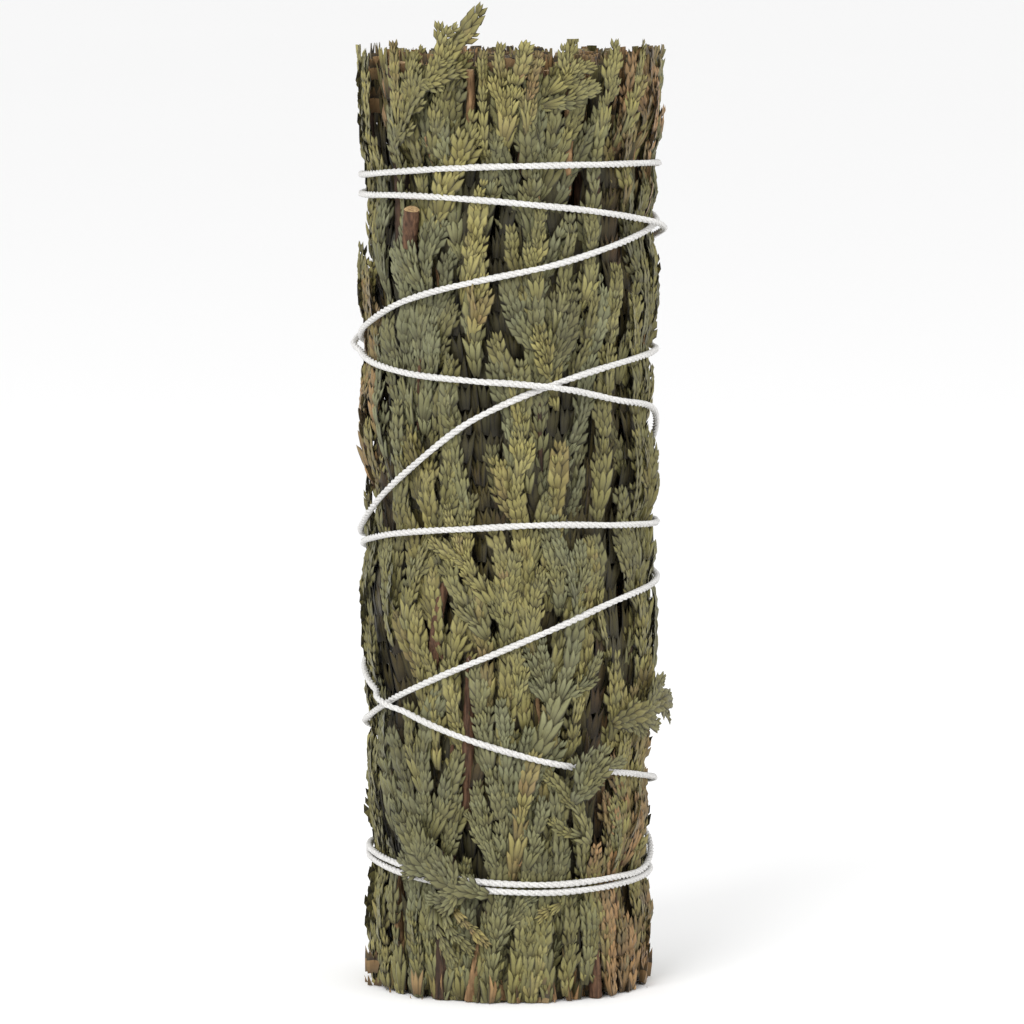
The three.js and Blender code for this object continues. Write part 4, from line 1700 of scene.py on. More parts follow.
@dataclass
class LaidSprays:
    """The single twigs that lie over the sprays on the front, each listed one by one."""

    surface: BundleSurface
    maker: LeafMaker
    pitch: float = 2.1 * MM
    lean: float = 30.0
    scale_share: float = 0.86
    joint_share: float = 0.55
    root_depth: float = 1.6 * MM
    root_share: float = 0.3
    shade: float = 1.1
    tone_spread: float = 0.05
    seed: int = 300
    looks: tuple[tuple[Tone, tuple[tuple[Any, ...], ...]], ...] = (
        (Tone.GREY_GREEN, (
            (1.7, 4, -0.1, ((7, 34), (13.7, 40.3), (20, 46.9), (25.4, 54.2), (29, 59.5))),
            (1.2, 4.5, 0.1, ((17.6, 44.8), (27.1, 47.1), (33.2, 49.4), (36.9, 52.5))),
            (1.2, 4.5, 0.2, ((16.4, 44), (11.6, 48.6), (5.7, 52.6))),
            (1.1, 4, 0.2, ((16.4, 44.8), (14.7, 48.6), (12.3, 53.8))),
            (1.3, 5, 0.15, ((29.1, 56.2), (25.4, 61.8), (21, 66.8), (17, 71.8))),
            (1.1, 4, 0.2, ((26.7, 59.5), (28.3, 63.2), (28.6, 69.2))),
            (1.4, 5.5, 0.2, ((-6.8, 33), (-9.7, 41.1), (-12.4, 47.1), (-14.3, 51.6))),
            (1.2, 5, 0.2, ((-1.2, 31.2), (-1.9, 38.2), (-3.7, 45.9))),
            (1.3, 6, 0.1, ((-1.2, 20.5), (-3.2, 26.2), (-5.7, 33.2))),
            (1.2, 5, 0, ((-4, 18.7), (-7.9, 24.7), (-14.2, 32.6))),
            (1.1, 4, 0, ((-4, 18.7), (-9.5, 24), (-15.5, 28.8))),
            (1.3, 5, 0, ((5.6, 18.7), (9.1, 23.9), (13.7, 30.7))),
            (1.3, 4, 0, ((-8, 1.4), (-6.8, 6.7), (-4.5, 12.7), (-3.6, 16.2))),
            (1.1, 4, 0, ((-5.2, 9.4), (2, 13.4), (8.8, 16.2))),
            (1.2, 3.5, -0.3, ((-33, 15.1), (-30.4, 11.2), (-22.6, 5.7))),
            (1.1, 3.5, -0.5, ((-29.3, 14), (-21.3, 10.2), (-14.5, 7.8))),
            (1.2, 5, 0.2, ((21.7, 57.9), (17.5, 64.9), (14.4, 70.4))),
        )),
        (Tone.OLIVE, (
            (1.2, 4, 0.2, ((-2.3, 50.3), (-1.1, 55.4), (-0.8, 59.1), (2.3, 67.5))),
            (1.1, 4, 0.2, ((-1.1, 55.4), (-3.5, 58.5), (-5.7, 63))),
            (1.5, 7, 0.1, ((-6.1, 52.4), (-12.2, 56.8), (-19.2, 61.2), (-25.1, 65.2))),
            (1.2, 4, 0, ((34.6, 22.8), (29, 24.9), (21, 26), (15.2, 27.8))),
            (1.2, 4.5, 0.2, ((33.8, 20.8), (30.2, 26.5), (22, 31.3), (13.8, 34.9))),
            (1.4, 6.5, -0.3, ((10, 133), (20.6, 134.2), (33.5, 136.4))),
            (1.1, 5, -0.2, ((13, 134.5), (22, 137.7), (31, 139.4))),
            (1.2, 5, 0.1, ((18, 133), (20.5, 138), (24, 144.5))),
            (1.3, 5, 0.1, ((-46.2, 128.1), (-40.9, 133.6), (-35.7, 140.7))),
            (1.4, 6, 0.2, ((-33.3, 124.2), (-26.7, 131.8), (-17.7, 141.1))),
            (1.3, 5, 0.2, ((35.5, 125.6), (38, 132.4), (43.5, 142.1))),
            (1.3, 5, 0.2, ((50, 127), (54, 134), (60, 142))),
            (1.3, 6, 0.2, ((44.4, 86.6), (41.7, 98.5), (45.9, 109.7))),
            (1.3, 6, 0.2, ((-44.5, 52.8), (-40.4, 61.4), (-32.5, 70.3))),
            (1.3, 6, 0.2, ((-56.8, 52.3), (-54, 60.9), (-59, 69.5))),
            (1.2, 5, 0.2, ((11.2, 102.8), (9.7, 110.7), (12, 118.8))),
            (1.2, 5, 0.2, ((29.4, 102.6), (34, 110.4), (33.2, 118.6))),
            (1.2, 4.5, 0.2, ((8.4, 52.1), (9.1, 57.6), (11.8, 64.7))),
            (1.1, 4.5, 0.2, ((2, 43.7), (2.9, 48.6), (2, 53.6))),
            (1.2, 5, 0.2, ((50.5, 16.4), (48.7, 22.8), (44.6, 30.3))),
            (1.2, 5, 0.2, ((-40.1, 1.5), (-41.8, 7), (-44.6, 13.2))),
        )),
        (Tone.YELLOW_GREEN, (
            (1.3, 4.5, -0.1, ((-3.8, 57.9), (-10.6, 62.3), (-16.8, 65.5), (-25, 67.2), (-32.8, 69.3))),
            (1.1, 4, 0.1, ((-14.8, 64.5), (-17, 68.5), (-18, 73))),
            (1, 4, 0.1, ((-16, 65), (-22, 69.5), (-25.5, 73.5))),
            (1.1, 3, -0.4, ((23.4, 15.1), (17, 14.3), (10.3, 12.6))),
            (1.9, 7.5, 0.05, ((-31.4, 113.4), (-27, 120.1), (-19.6, 125.3), (-12.9, 130.6))),
            (1.5, 6, 0.1, ((-20, 104), (-14, 112), (-12, 121))),
            (1, 3, -0.1, ((-10, 123.6), (-9.6, 131.2), (-10.2, 141.2))),
            (1.4, 5.5, -0.2, ((-2.8, 125.1), (-0.6, 132.2), (4, 139), (7.2, 144))),
            (1.2, 4.5, -0.2, ((-2, 128), (-3, 135), (-4.5, 142))),
            (1.3, 5, 0.2, ((-48.3, 126), (-46.7, 133.8), (-47.7, 141.8))),
            (1.3, 6, 0.2, ((20, 88.2), (14.3, 96), (9.7, 101))),
            (1.2, 5, 0.2, ((2, 75), (4, 84), (1, 93))),
            (1.4, 6, 0.2, ((-15, 97.4), (-12.7, 105.3), (-13.2, 113.2))),
        )),
        (Tone.BROWN, (
            (1.5, 3.2, 0.1, ((0.8, 17.7), (3.6, 26.2), (7, 33.7), (11.5, 38))),
            (0.9, 3, -0.5, ((-27.3, 15.2), (-18.4, 12.3), (-8, 8.7))),
            (1.1, 4, 0, ((6.6, 127.3), (6.2, 133.4), (10.5, 141.4))),
        )),
    )

    def strand(self, tone: Tone, spray: LaidSpray) -> Strand:
        """Returns a spray's centre line as a strand, with its root tucked in.

        Args:
            tone: Its leaves' look.
            spray: The spray.

        Returns:
            The strand.
        """
        turns, heights = np.array(spray.places).T
        across = np.radians(turns) * BUNDLE_RADIUS
        line = smooth_line(np.stack([across, heights * MM, np.zeros(len(turns))], -1), 16)
        risen = smooth(0, self.root_share, np.linspace(0, 1, len(line)))
        depth = mix(self.root_depth, spray.depth * MM, risen)
        size = spray.width * MM * self.scale_share
        return Strand(line[:, 0], line[:, 1], depth, size, tone.value, self.shade)

    def build(self) -> None:
        """Dresses the twigs, one piece for each look."""
        for number, (tone, sprays) in enumerate(self.looks):
            rng = np.random.default_rng(self.seed + number)
            whorls = Whorls(rng)
            for row in sprays:
                spray = LaidSpray(*row)
                main = self.strand(tone, spray)
                main.tone += rng.normal(0, self.tone_spread)
                sides = main.side_strands(rng, SideTwigs(self.pitch, spray.twigs * MM, self.lean))
                for strand in [*main.halves(self.joint_share, spray.width * MM), *sides]:
                    whorls.lay(strand.twig(self.surface, strand.turn), highest=BUNDLE_HEIGHT + OVERRUN)
            piece = self.maker.dress(f"laid_{tone.name.lower()}", whorls)
            cut_ends(piece, BUNDLE_HEIGHT + OVERRUN, self.maker.cut_material)
            ride(piece, TONE_SLOTS[tone])


@dataclass
class CoreSprigs:
    """The sprigs in the middle of the bundle, seen at its two ends."""

    maker: LeafMaker
    leaf_distance: float = 3.0 * MM
    leaf_length: float = 70 * MM
    leaf_feet: tuple[float, ...] = (-0.006, -0.006, 0.066, 0.066)
    leaf_turns: tuple[float, ...] = (0.0, 180.0, 90.0, 270.0)
    leaf_size: float = 1.9 * MM
    leaf_apart: float = 38.0
    leaf_reach: float = 1.15
    # Painted shade: the core sprigs' long leaves, deep in the bundle, are darkened to this brightness.
    core_painted_shade: float = 0.6
    most_turn: float = 60.0
    cut_short: float = 0.001
    tip_tones: tuple[float, float] = (-0.2, 0.5)
    tip_shade: float = 0.85
    tip_size: float = 1.15 * MM
    tips: int = 16
    tip_length: float = 9 * MM
    first_seed: int = 500

    def build_one(self, name: str, turn: float, distance: float, seed: int) -> None:
        """Dresses one core sprig.

        Args:
            name: The node's name.
            turn: Where it stands round the axis.
            distance: How far it stands from the axis.
            seed: The seed that the solid was drawn with.
        """
        draw = Draws(seed)
        axis = outwards(np.array(turn)) * distance
        turned = self.most_turn * draw()
        cut = mix(CUT_LOW, CUT_HIGH, draw()) - self.cut_short
        rng = np.random.default_rng(seed)
        whorls = Whorls(rng)
        share = np.linspace(0, 1, 12)
        for foot, angle in zip(self.leaf_feet, self.leaf_turns):
            for across in (-self.leaf_apart, self.leaf_apart):
                out = outwards(np.full(len(share), angle + turned + across))
                reach = self.leaf_reach * self.leaf_distance * smooth(-0.1, 0.2, share)
                points = axis + out * reach[:, None]
                points[:, 2] = foot + self.leaf_length * share
                twig = Twig(points, out, self.leaf_size, Tone.OLIVE.value, self.core_painted_shade, WhorlKind.DEEP)
                whorls.lay(twig, highest=cut + 3 * MM)
        share = np.linspace(0, 1, 6)
        for index in range(self.tips):
            angle = 360 * index / self.tips + rng.uniform(0, 30)
            out = outwards(np.full(len(share), angle))
            for top, way in ((cut + rng.uniform(-2, 2) * MM, 1), (-MM, -1)):
                reach = self.leaf_distance * rng.uniform(0.3, 1.4)
                points = axis + out * (reach * (0.7 + 0.3 * share))[:, None]
                points[:, 2] = top + (share - 1 if way > 0 else share) * self.tip_length
                tone = Tone.OLIVE.value + rng.uniform(*self.tip_tones)
                whorls.lay(Twig(points, out, self.tip_size, tone, self.tip_shade), highest=cut + 2 * MM)
        piece = self.maker.dress(f"leaves_{name}", whorls)
        cut_ends(piece, cut, self.maker.cut_material)
        ride(piece, Slot.BROWN, name)

    def build(self) -> None:
        """Dresses the sprig on the axis and the ring round it."""
        self.build_one("core_sprig_centre", 0.0, 0.0, self.first_seed)
        for i in range(CORE_RING):
            name = f"core_sprig_{i + 1}"
            self.build_one(name, 360 / CORE_RING * i, CORE_RING_RADIUS, self.first_seed + 1 + i)


@dataclass
class CutEnds:
    """The cut leafy ends that fill the bundle's middle at the top and at the foot."""

    maker: LeafMaker
    count: int = 280
    reach: float = 21.2 * MM
    leaf_size: float = 1.75 * MM
    length: float = 9 * MM
    top: float = 140.4 * MM
    uneven: tuple[float, float] = (-0.0028, 0.0022)
    wander: float = 0.45 * MM
    tones: tuple[float, float] = (0.62, 1.0)
    # Painted light: raised brightness that lifts the cut ends out of the shade between them.
    shades: tuple[float, float] = (0.95, 1.25)
    seed: int = 640

    def build_end(self, name: str, low: float) -> None:
        """Fills one end.

        Args:
            name: The piece's name.
            low: Height of the twigs' lower ends.
        """
        rng = np.random.default_rng(self.seed + round(low / MM))
        whorls = Whorls(rng)
        share = np.linspace(0, 1, 4)
        for index in range(self.count):
            distance = self.reach * math.sqrt((index + 0.5) / self.count)
            centre = outwards(np.array(TURN_BETWEEN * index)) * distance + rng.normal(0, self.wander, 3)
            points = np.tile(centre, (len(share), 1))
            points[:, 2] = low + self.length * share + rng.uniform(*self.uneven)
            facing = outwards(np.full(len(share), rng.uniform(0, 360)))
            tone, shade = rng.uniform(*self.tones), rng.uniform(*self.shades)
            whorls.lay(Twig(points, facing, self.leaf_size, tone, shade, WhorlKind.DEEP), lowest=-5 * MM)
        piece = self.maker.dress(name, whorls)
        cut_ends(piece, self.top + rng.uniform(*self.uneven) / 2, self.maker.cut_material)
        ride(piece, Slot.BROWN)

    def build(self) -> None:
        """Fills both ends."""
        self.build_end("cut_ends_foot", -2 * MM)
        self.build_end("cut_ends_top", self.top - self.length)


def smooth_line(points: Array, count: int) -> Array:
    """Returns an even run of points on a smooth curve through points.

    Args:
        points: The points that it passes.
        count: How many points are wanted.

    Returns:
        One row a point.
    """
    ends = np.concatenate([[2 * points[0] - points[1]], points, [2 * points[-1] - points[-2]]])
    fine = []
    for i in range(len(points) - 1):
        before, start, end, after = ends[i : i + 4]
        t = np.linspace(0, 1, 24, endpoint=i == len(points) - 2)[:, None]
        square = (2 * before - 5 * start + 4 * end - after) * t**2
        cube = (3 * start - before - 3 * end + after) * t**3
        fine.append(0.5 * ((2 * start) + (end - before) * t + square + cube))
    line = np.concatenate(fine)
    run = line_run(line)
    return along_line(line, run, np.linspace(0, run[-1], count))


def level_out(points: Array) -> Array:
    """Returns the level direction away from the axis at each point."""
    return unit(points * np.array([1.0, 1.0, 0.0]))


@dataclass(frozen=True)
class LooseSprig:
    """A sprig that lies on the surface: its main stem and the branchlets that leave it.

    Attributes:
        name: The node's name.
        tone: Its leaves' look.
        half_width: Half the width of the solid rod; not used.
        places: Turns, heights and depths on its main stem.
        branchlets: For each, the share of the stem at its root, its side and its length.
    """

    name: str
    tone: Tone
    half_width: float
    places: tuple[Place, ...]
    branchlets: tuple[Place, ...]


@dataclass
class LooseSprigs:
    """The four loose sprigs."""

    surface: BundleSurface
    maker: LeafMaker
    leaf_size: float = 1.15 * MM
    main_share: float = 1.15
    lean: float = 35.0
    twigs_between: tuple[float, float] = (0.1, 0.85)
    twig_pitch: float = 2.2 * MM
    twig_lengths: tuple[float, float] = (3.0, 4.8)
    twig_lean: float = 32.0
    twig_share: float = 0.9
    first_seed: int = 70
    sprigs: tuple[LooseSprig, ...] = (
        LooseSprig(
            "sprig_above_rim", Tone.OLIVE, 1.7 * MM,
            ((-46, 0.127, -0.0012), (-34, 0.135, -0.0013), (-21, 0.141, -0.0012), (-9, 0.148, -0.0006)),
            ((0.3, 1, 0.008), (0.45, -1, 0.007), (0.62, 1, 0.006)),
        ),
        LooseSprig(
            "sprig_over_ring", Tone.GREY_GREEN, 1.6 * MM,
            ((-9, 0.0165, -0.0015), (-24, 0.018, -0.0017), (-36, 0.0215, -0.0017), (-45, 0.028, -0.0015)),
            ((0.15, 1, 0.008), (0.3, -1, 0.009), (0.5, 1, 0.007), (0.6, -1, 0.007)),
        ),
        LooseSprig(
            "sprig_over_thread", Tone.GREY_GREEN, 1.8 * MM,
            ((24, 0.0305, -0.0015), (32, 0.035, -0.0016), (39, 0.0385, -0.0015)),
            ((0.2, 1, 0.006), (0.35, -1, 0.006)),
        ),
        LooseSprig(
            "sprig_at_right", Tone.OLIVE, 1.8 * MM,
            ((40, 0.0415, -0.0013), (60, 0.043, -0.0013), (78, 0.0435, -0.0013), (91, 0.0425, -0.0011)),
            ((0.25, -1, 0.008), (0.4, 1, 0.008), (0.65, -1, 0.006)),
        ),
    )

    def offshoot(self, line: Array, share: float, side: float, length: float, lean: float) -> Array:
        """Returns the centre line of a branchlet that leaves a line and lies along the surface.

        Args:
            line: The line that it leaves.
            share: Where on the line its root is.
            side: 1 to the left or -1 to the right.
            length: Its length.
            lean: How far it leans out, in degrees.

        Returns:
            One row a point.
        """
        index = int(share * (len(line) - 1))
        root = line[index]
        along = unit(line[min(index + 1, len(line) - 1)] - line[max(index - 1, 0)])
        out = level_out(root)
        across = np.cross(out, along)
        angle = math.radians(lean) * side
        lead = along * math.cos(angle) + across * math.sin(angle)
        middle = root + lead * length / 2
        end = middle + unit(lead + along) * length / 2
        rest = math.hypot(root[0], root[1])
        laid = [np.append(level_out(p)[:2] * rest, p[2]) for p in (middle, end)]
        return smooth_line(np.array([root, *laid]), 10)

    def build(self) -> None:
        """Dresses each loose sprig."""
        for number, sprig in enumerate(self.sprigs):
            rng = np.random.default_rng(self.first_seed + number)
            main = smooth_line(self.surface.points(*np.array(sprig.places, float).T), 30)
            lines = [(main, self.leaf_size * self.main_share)]
            for share, side, length in sprig.branchlets:
                lines.append((self.offshoot(main, share, side, length, self.lean), self.leaf_size))
            small = []
            for line, _ in lines:
                length = float(np.linalg.norm(np.diff(line, axis=0), axis=1).sum())
                for index, share in enumerate(np.arange(*self.twigs_between, self.twig_pitch / length)):
                    side = 1 if index % 2 else -1
                    reach = rng.uniform(*self.twig_lengths) * MM * (1.1 - 0.5 * share)
                    twig = self.offshoot(line, share, side, reach, self.twig_lean)
                    small.append((twig, self.leaf_size * self.twig_share))
            whorls = Whorls(rng)
            for line, size in lines + small:
                tone = sprig.tone.value + rng.normal(0, 0.04)
                lifted = line + level_out(line) * rng.uniform(-0.2, 0.25) * MM
                whorls.lay(Twig(lifted, level_out(line), size, tone, rng.uniform(0.92, 1.15)))
            ride(self.maker.dress(f"leaves_{sprig.name}", whorls), TONE_SLOTS[sprig.tone], sprig.name)


# Woody stems


@dataclass
class StemMaker:
    """Makes round woody stems with rough bark and pale cut ends."""

    cut_wood: Material
    sides: int = 12
    lowest: float = 0.15 * MM
    grain_side: Place = (0.31, 0.95, 0.05)
    ridge: float = 0.09
    roughness: float = 0.03
    unevenness: float = 0.04

    def tube(self, line: Array, radius: float, rng: Rng, taper: float = 1.0) -> Any:
        """Returns the points and faces of one stem.

        Args:
            line: Its centre line, from the lower end.
            radius: Its radius at the lower end.
            rng: Source of the bark's roughness.
            taper: Radius at the upper end as a share of that at the lower.

        Returns:
            Points, faces, and for each face whether it is a cut end.
        """
        along = unit(np.gradient(line, axis=0))
        first = unit(np.cross(along, np.array(self.grain_side)))
        second = np.cross(along, first)
        angle = np.linspace(0, 2 * math.pi, self.sides, endpoint=False)
        swell = self.ridge * np.sin(3 * angle + rng.uniform(0, 6))
        ridges = 1 + swell + rng.normal(0, self.roughness, self.sides)
        points = []
        for i, centre in enumerate(line):
            size = radius * mix(1.0, taper, i / (len(line) - 1)) * (1 + rng.normal(0, self.unevenness))
            ring = np.outer(np.cos(angle) * ridges, first[i]) + np.outer(np.sin(angle) * ridges, second[i])
            points.append(centre + ring * size)
        rings = len(line)
        points.append(np.array([line[0], line[-1]]))
        faces = []
        for ring in range(rings - 1):
            for k in range(self.sides):
                a, b = ring * self.sides + k, ring * self.sides + (k + 1) % self.sides
                faces.append((a, b, b + self.sides, a + self.sides))
        low, high = rings * self.sides, rings * self.sides + 1
        top = (rings - 1) * self.sides
        faces += [(low, (k + 1) % self.sides, k) for k in range(self.sides)]
        faces += [(high, top + k, top + (k + 1) % self.sides) for k in range(self.sides)]
        ends = [False] * ((rings - 1) * self.sides) + [True] * (2 * self.sides)
        corners = np.concatenate(points)
        corners[:, 2] = np.maximum(corners[:, 2], self.lowest)
        return corners, faces, ends

    def piece(self, name: str, stems: Iterable[Any], bark: Material) -> Piece:
        """Joins stems into one piece with bark and cut wood.

        Args:
            name: The piece's name.
            stems: Tubes, as the tube method returns them.
            bark: The bark's finish.

        Returns:
            The piece.
        """
        joined = Joined()
        ends: list[bool] = []
        for stem_points, stem_faces, stem_ends in stems:
            joined.add(stem_points, stem_faces)
            ends += stem_ends
        made = mesh_object(name, np.concatenate(joined.points), joined.corners)
        made.data.materials.append(bark)
        made.data.materials.append(self.cut_wood)
        made.data.polygons.foreach_set("material_index", [int(end) for end in ends])
        made.data.polygons.foreach_set("use_smooth", [not end for end in ends])
        return made


@dataclass(frozen=True)
class BareStem:
    """A woody stem without leaves, through turns, heights and depths from its lower end to its cut end."""

    name: str
    slot: Slot
    radius: float
    places: tuple[Place, ...]


@dataclass
class BareStems:
    """The woody stems that show between the sprays and at both ends of the bundle."""

    surface: BundleSurface
    maker: StemMaker
    barks: dict[Slot, Material]
    lowest: float = 0.2 * MM
    first_seed: int = 40
    stems: tuple[BareStem, ...] = (
        BareStem("stem_rim_left", Slot.DARK_WOOD, 1.3 * MM,
                 ((-55, 0.108, 0.0032), (-54, 0.124, 0.0019), (-52, 0.1386, 0.0017))),
        BareStem("stem_stub", Slot.RED_WOOD, 1.15 * MM,
                 ((-47, 0.104, 0.0026), (-45, 0.111, 0.0014), (-40, 0.1178, -0.0011))),
        BareStem("stem_foot_dark", Slot.DARK_WOOD, 1.2 * MM,
                 ((-31, -0.003, 0.0015), (-30, 0.012, 0.0016), (-28, 0.027, 0.0032))),
        BareStem("stem_foot_tan", Slot.TAN_WOOD, 0.8 * MM,
                 ((-20, -0.003, 0.0011), (-13, 0.008, 0.0012), (-8, 0.015, 0.0026))),
        BareStem("stem_foot_red", Slot.RED_WOOD, 1.0 * MM,
                 ((40.5, -0.003, 0.0014), (38, 0.007, 0.0014), (36, 0.015, 0.0028))),
        BareStem("stem_gap_low", Slot.RED_WOOD, 0.9 * MM,
                 ((-19, 0.028, 0.0024), (-18, 0.040, 0.0014), (-17, 0.052, 0.0024))),
        BareStem("stem_gap_left", Slot.RED_WOOD, 0.85 * MM,
                 ((-36, 0.046, 0.0024), (-30, 0.057, 0.0014), (-26, 0.066, 0.0024))),
        BareStem("stem_rim_front", Slot.TAN_WOOD, 0.7 * MM,
                 ((25, 0.120, 0.0026), (24, 0.127, 0.0014), (22, 0.1395, 0.0006))),
    )

    def build(self) -> None:
        """Makes each bare stem in place of its solid."""
        for number, stem in enumerate(self.stems):
            rng = np.random.default_rng(self.first_seed + number)
            line = smooth_line(self.surface.points(*np.array(stem.places, float).T), 60)
            line = line[line[:, 2] >= 0.0]
            line[0, 2] = max(line[0, 2], self.lowest)
            tube = self.maker.tube(line, stem.radius, rng)
            piece = self.maker.piece("bark_" + stem.name, [tube], self.barks[stem.slot])
            ride(piece, stem.slot, stem.name)


@dataclass
class WoodyTwigs:
    """The thin cut stems among the leaves: at the foot, at the rim, through the middle and in the sprays.

    Pairs are the least and the most of a measure, those of heights and depths in millimetres.
    """

    surface: BundleSurface
    maker: StemMaker
    barks: dict[Slot, Material]
    feet: int = 12
    rims: int = 18
    middles: int = 22
    rings: int = 8
    spacing: float = 0.4
    lean: float = 8.0
    bend: float = 2.0
    lowest: float = 0.3 * MM
    foot_tops: tuple[float, float] = (9, 24)
    foot_depths: tuple[float, float] = (1.2, 2.8)
    foot_tucks: tuple[float, float] = (2.6, 3.6)
    rim_feet: tuple[float, float] = (116, 128)
    rim_tops: tuple[float, float] = (137, 139.5)
    rim_tuck: float = 3.2 * MM
    rim_depths: tuple[float, float] = (0.6, 3.0)
    middle_tops: tuple[float, float] = (137.5, 139.8)
    middle_reach: float = 0.8
    radii: tuple[float, float] = (0.4 * MM, 0.95 * MM)
    tapers: tuple[float, float] = (0.6, 0.9)
    stem_radius: float = 0.5 * MM
    stem_foot: float = 0.02
    stem_reach: float = 0.6
    stem_taper: float = 0.5
    stem_lift: float = 0.25 * MM
    seed: int = 800

    def leaning(self, rng: Rng, turn: float, heights: Sequence[float], depths: Sequence[float]) -> Any:
        """Returns the tube of one stem that leans a little between two heights and two depths.

        Args:
            rng: Source of its lean and thickness.
            turn: Where its foot is.
            heights: Heights of its two ends.
            depths: Depths of its two ends.

        Returns:
            The tube.
        """
        share = np.linspace(0, 1, self.rings)
        leant = rng.uniform(-self.lean, self.lean) * share
        turns = turn + leant + rng.uniform(-self.bend, self.bend) * np.sin(3 * share)
        line = self.surface.points(turns, mix(*heights, share), mix(*depths, share))
        radius = rng.uniform(*self.radii)
        return self.maker.tube(line, radius, rng, rng.uniform(*self.tapers))

    def foot_stems(self, rng: Rng) -> Iterable[Any]:
        """Yields the short stems that end at the foot.

        Args:
            rng: Source of small differences.

        Yields:
            Tubes.
        """
        for index in range(self.feet):
            turn = 360 / self.feet * (index + rng.uniform(-self.spacing, self.spacing))
            heights = (self.lowest, rng.uniform(*self.foot_tops) * MM)
            depths = (rng.uniform(*self.foot_depths) * MM, rng.uniform(*self.foot_tucks) * MM)
            yield self.leaning(rng, turn, heights, depths)

    def rim_stems(self, rng: Rng) -> Iterable[Any]:
        """Yields the short stems that end at the rim.

        Args:
            rng: Source of small differences.

        Yields:
            Tubes.
        """
        for index in range(self.rims):
            turn = 360 / self.rims * (index + rng.uniform(-self.spacing, self.spacing))
            heights = (rng.uniform(*self.rim_feet) * MM, rng.uniform(*self.rim_tops) * MM)
            yield self.leaning(rng, turn, heights, (self.rim_tuck, rng.uniform(*self.rim_depths) * MM))

    def middle_stems(self, rng: Rng) -> Iterable[Any]:
        """Yields the stems that run through the middle from end to end.

        Args:
            rng: Source of small differences.

        Yields:
            Tubes.
        """
        for index in range(self.middles):
            depth = BUNDLE_RADIUS * (1 - self.middle_reach * math.sqrt((index + 0.3) / self.middles))
            heights = (self.lowest, rng.uniform(*self.middle_tops) * MM)
            depths = (depth, depth + rng.uniform(-1, 1) * MM)
            yield self.leaning(rng, TURN_BETWEEN * index, heights, depths)

    def spray_stems(self, rng: Rng) -> Iterable[Any]:
        """Yields the bare lower stem of each outer spray.

        Args:
            rng: Source of small differences.

        Yields:
            Tubes.
        """
        for column in range(COLUMNS):
            for _, spray in outer_sprays(column):
                lowest = max(self.stem_foot, (MM - spray.start) / OUTER.length)
                highest = min(self.stem_reach, (spray.cut - MM - spray.start) / OUTER.length)
                turn, height = spray.stem(np.linspace(lowest, highest, self.rings))
                line = self.surface.points(turn, height, spray.depth(height) - self.stem_lift)
                yield self.maker.tube(line, self.stem_radius, rng, self.stem_taper)

    def build(self) -> None:
        """Makes one piece for each bark."""
        rng = np.random.default_rng(self.seed)
        slots = list(self.barks)
        sorted_stems: dict[Slot, list[Any]] = {slot: [] for slot in slots}
        for stems in (self.foot_stems, self.rim_stems, self.middle_stems, self.spray_stems):
            for stem in stems(rng):
                sorted_stems[slots[rng.integers(len(slots))]].append(stem)
        for slot, stems in sorted_stems.items():
            ride(self.maker.piece(f"twigs_{slot.value}", stems, self.barks[slot]), slot)


# The thread


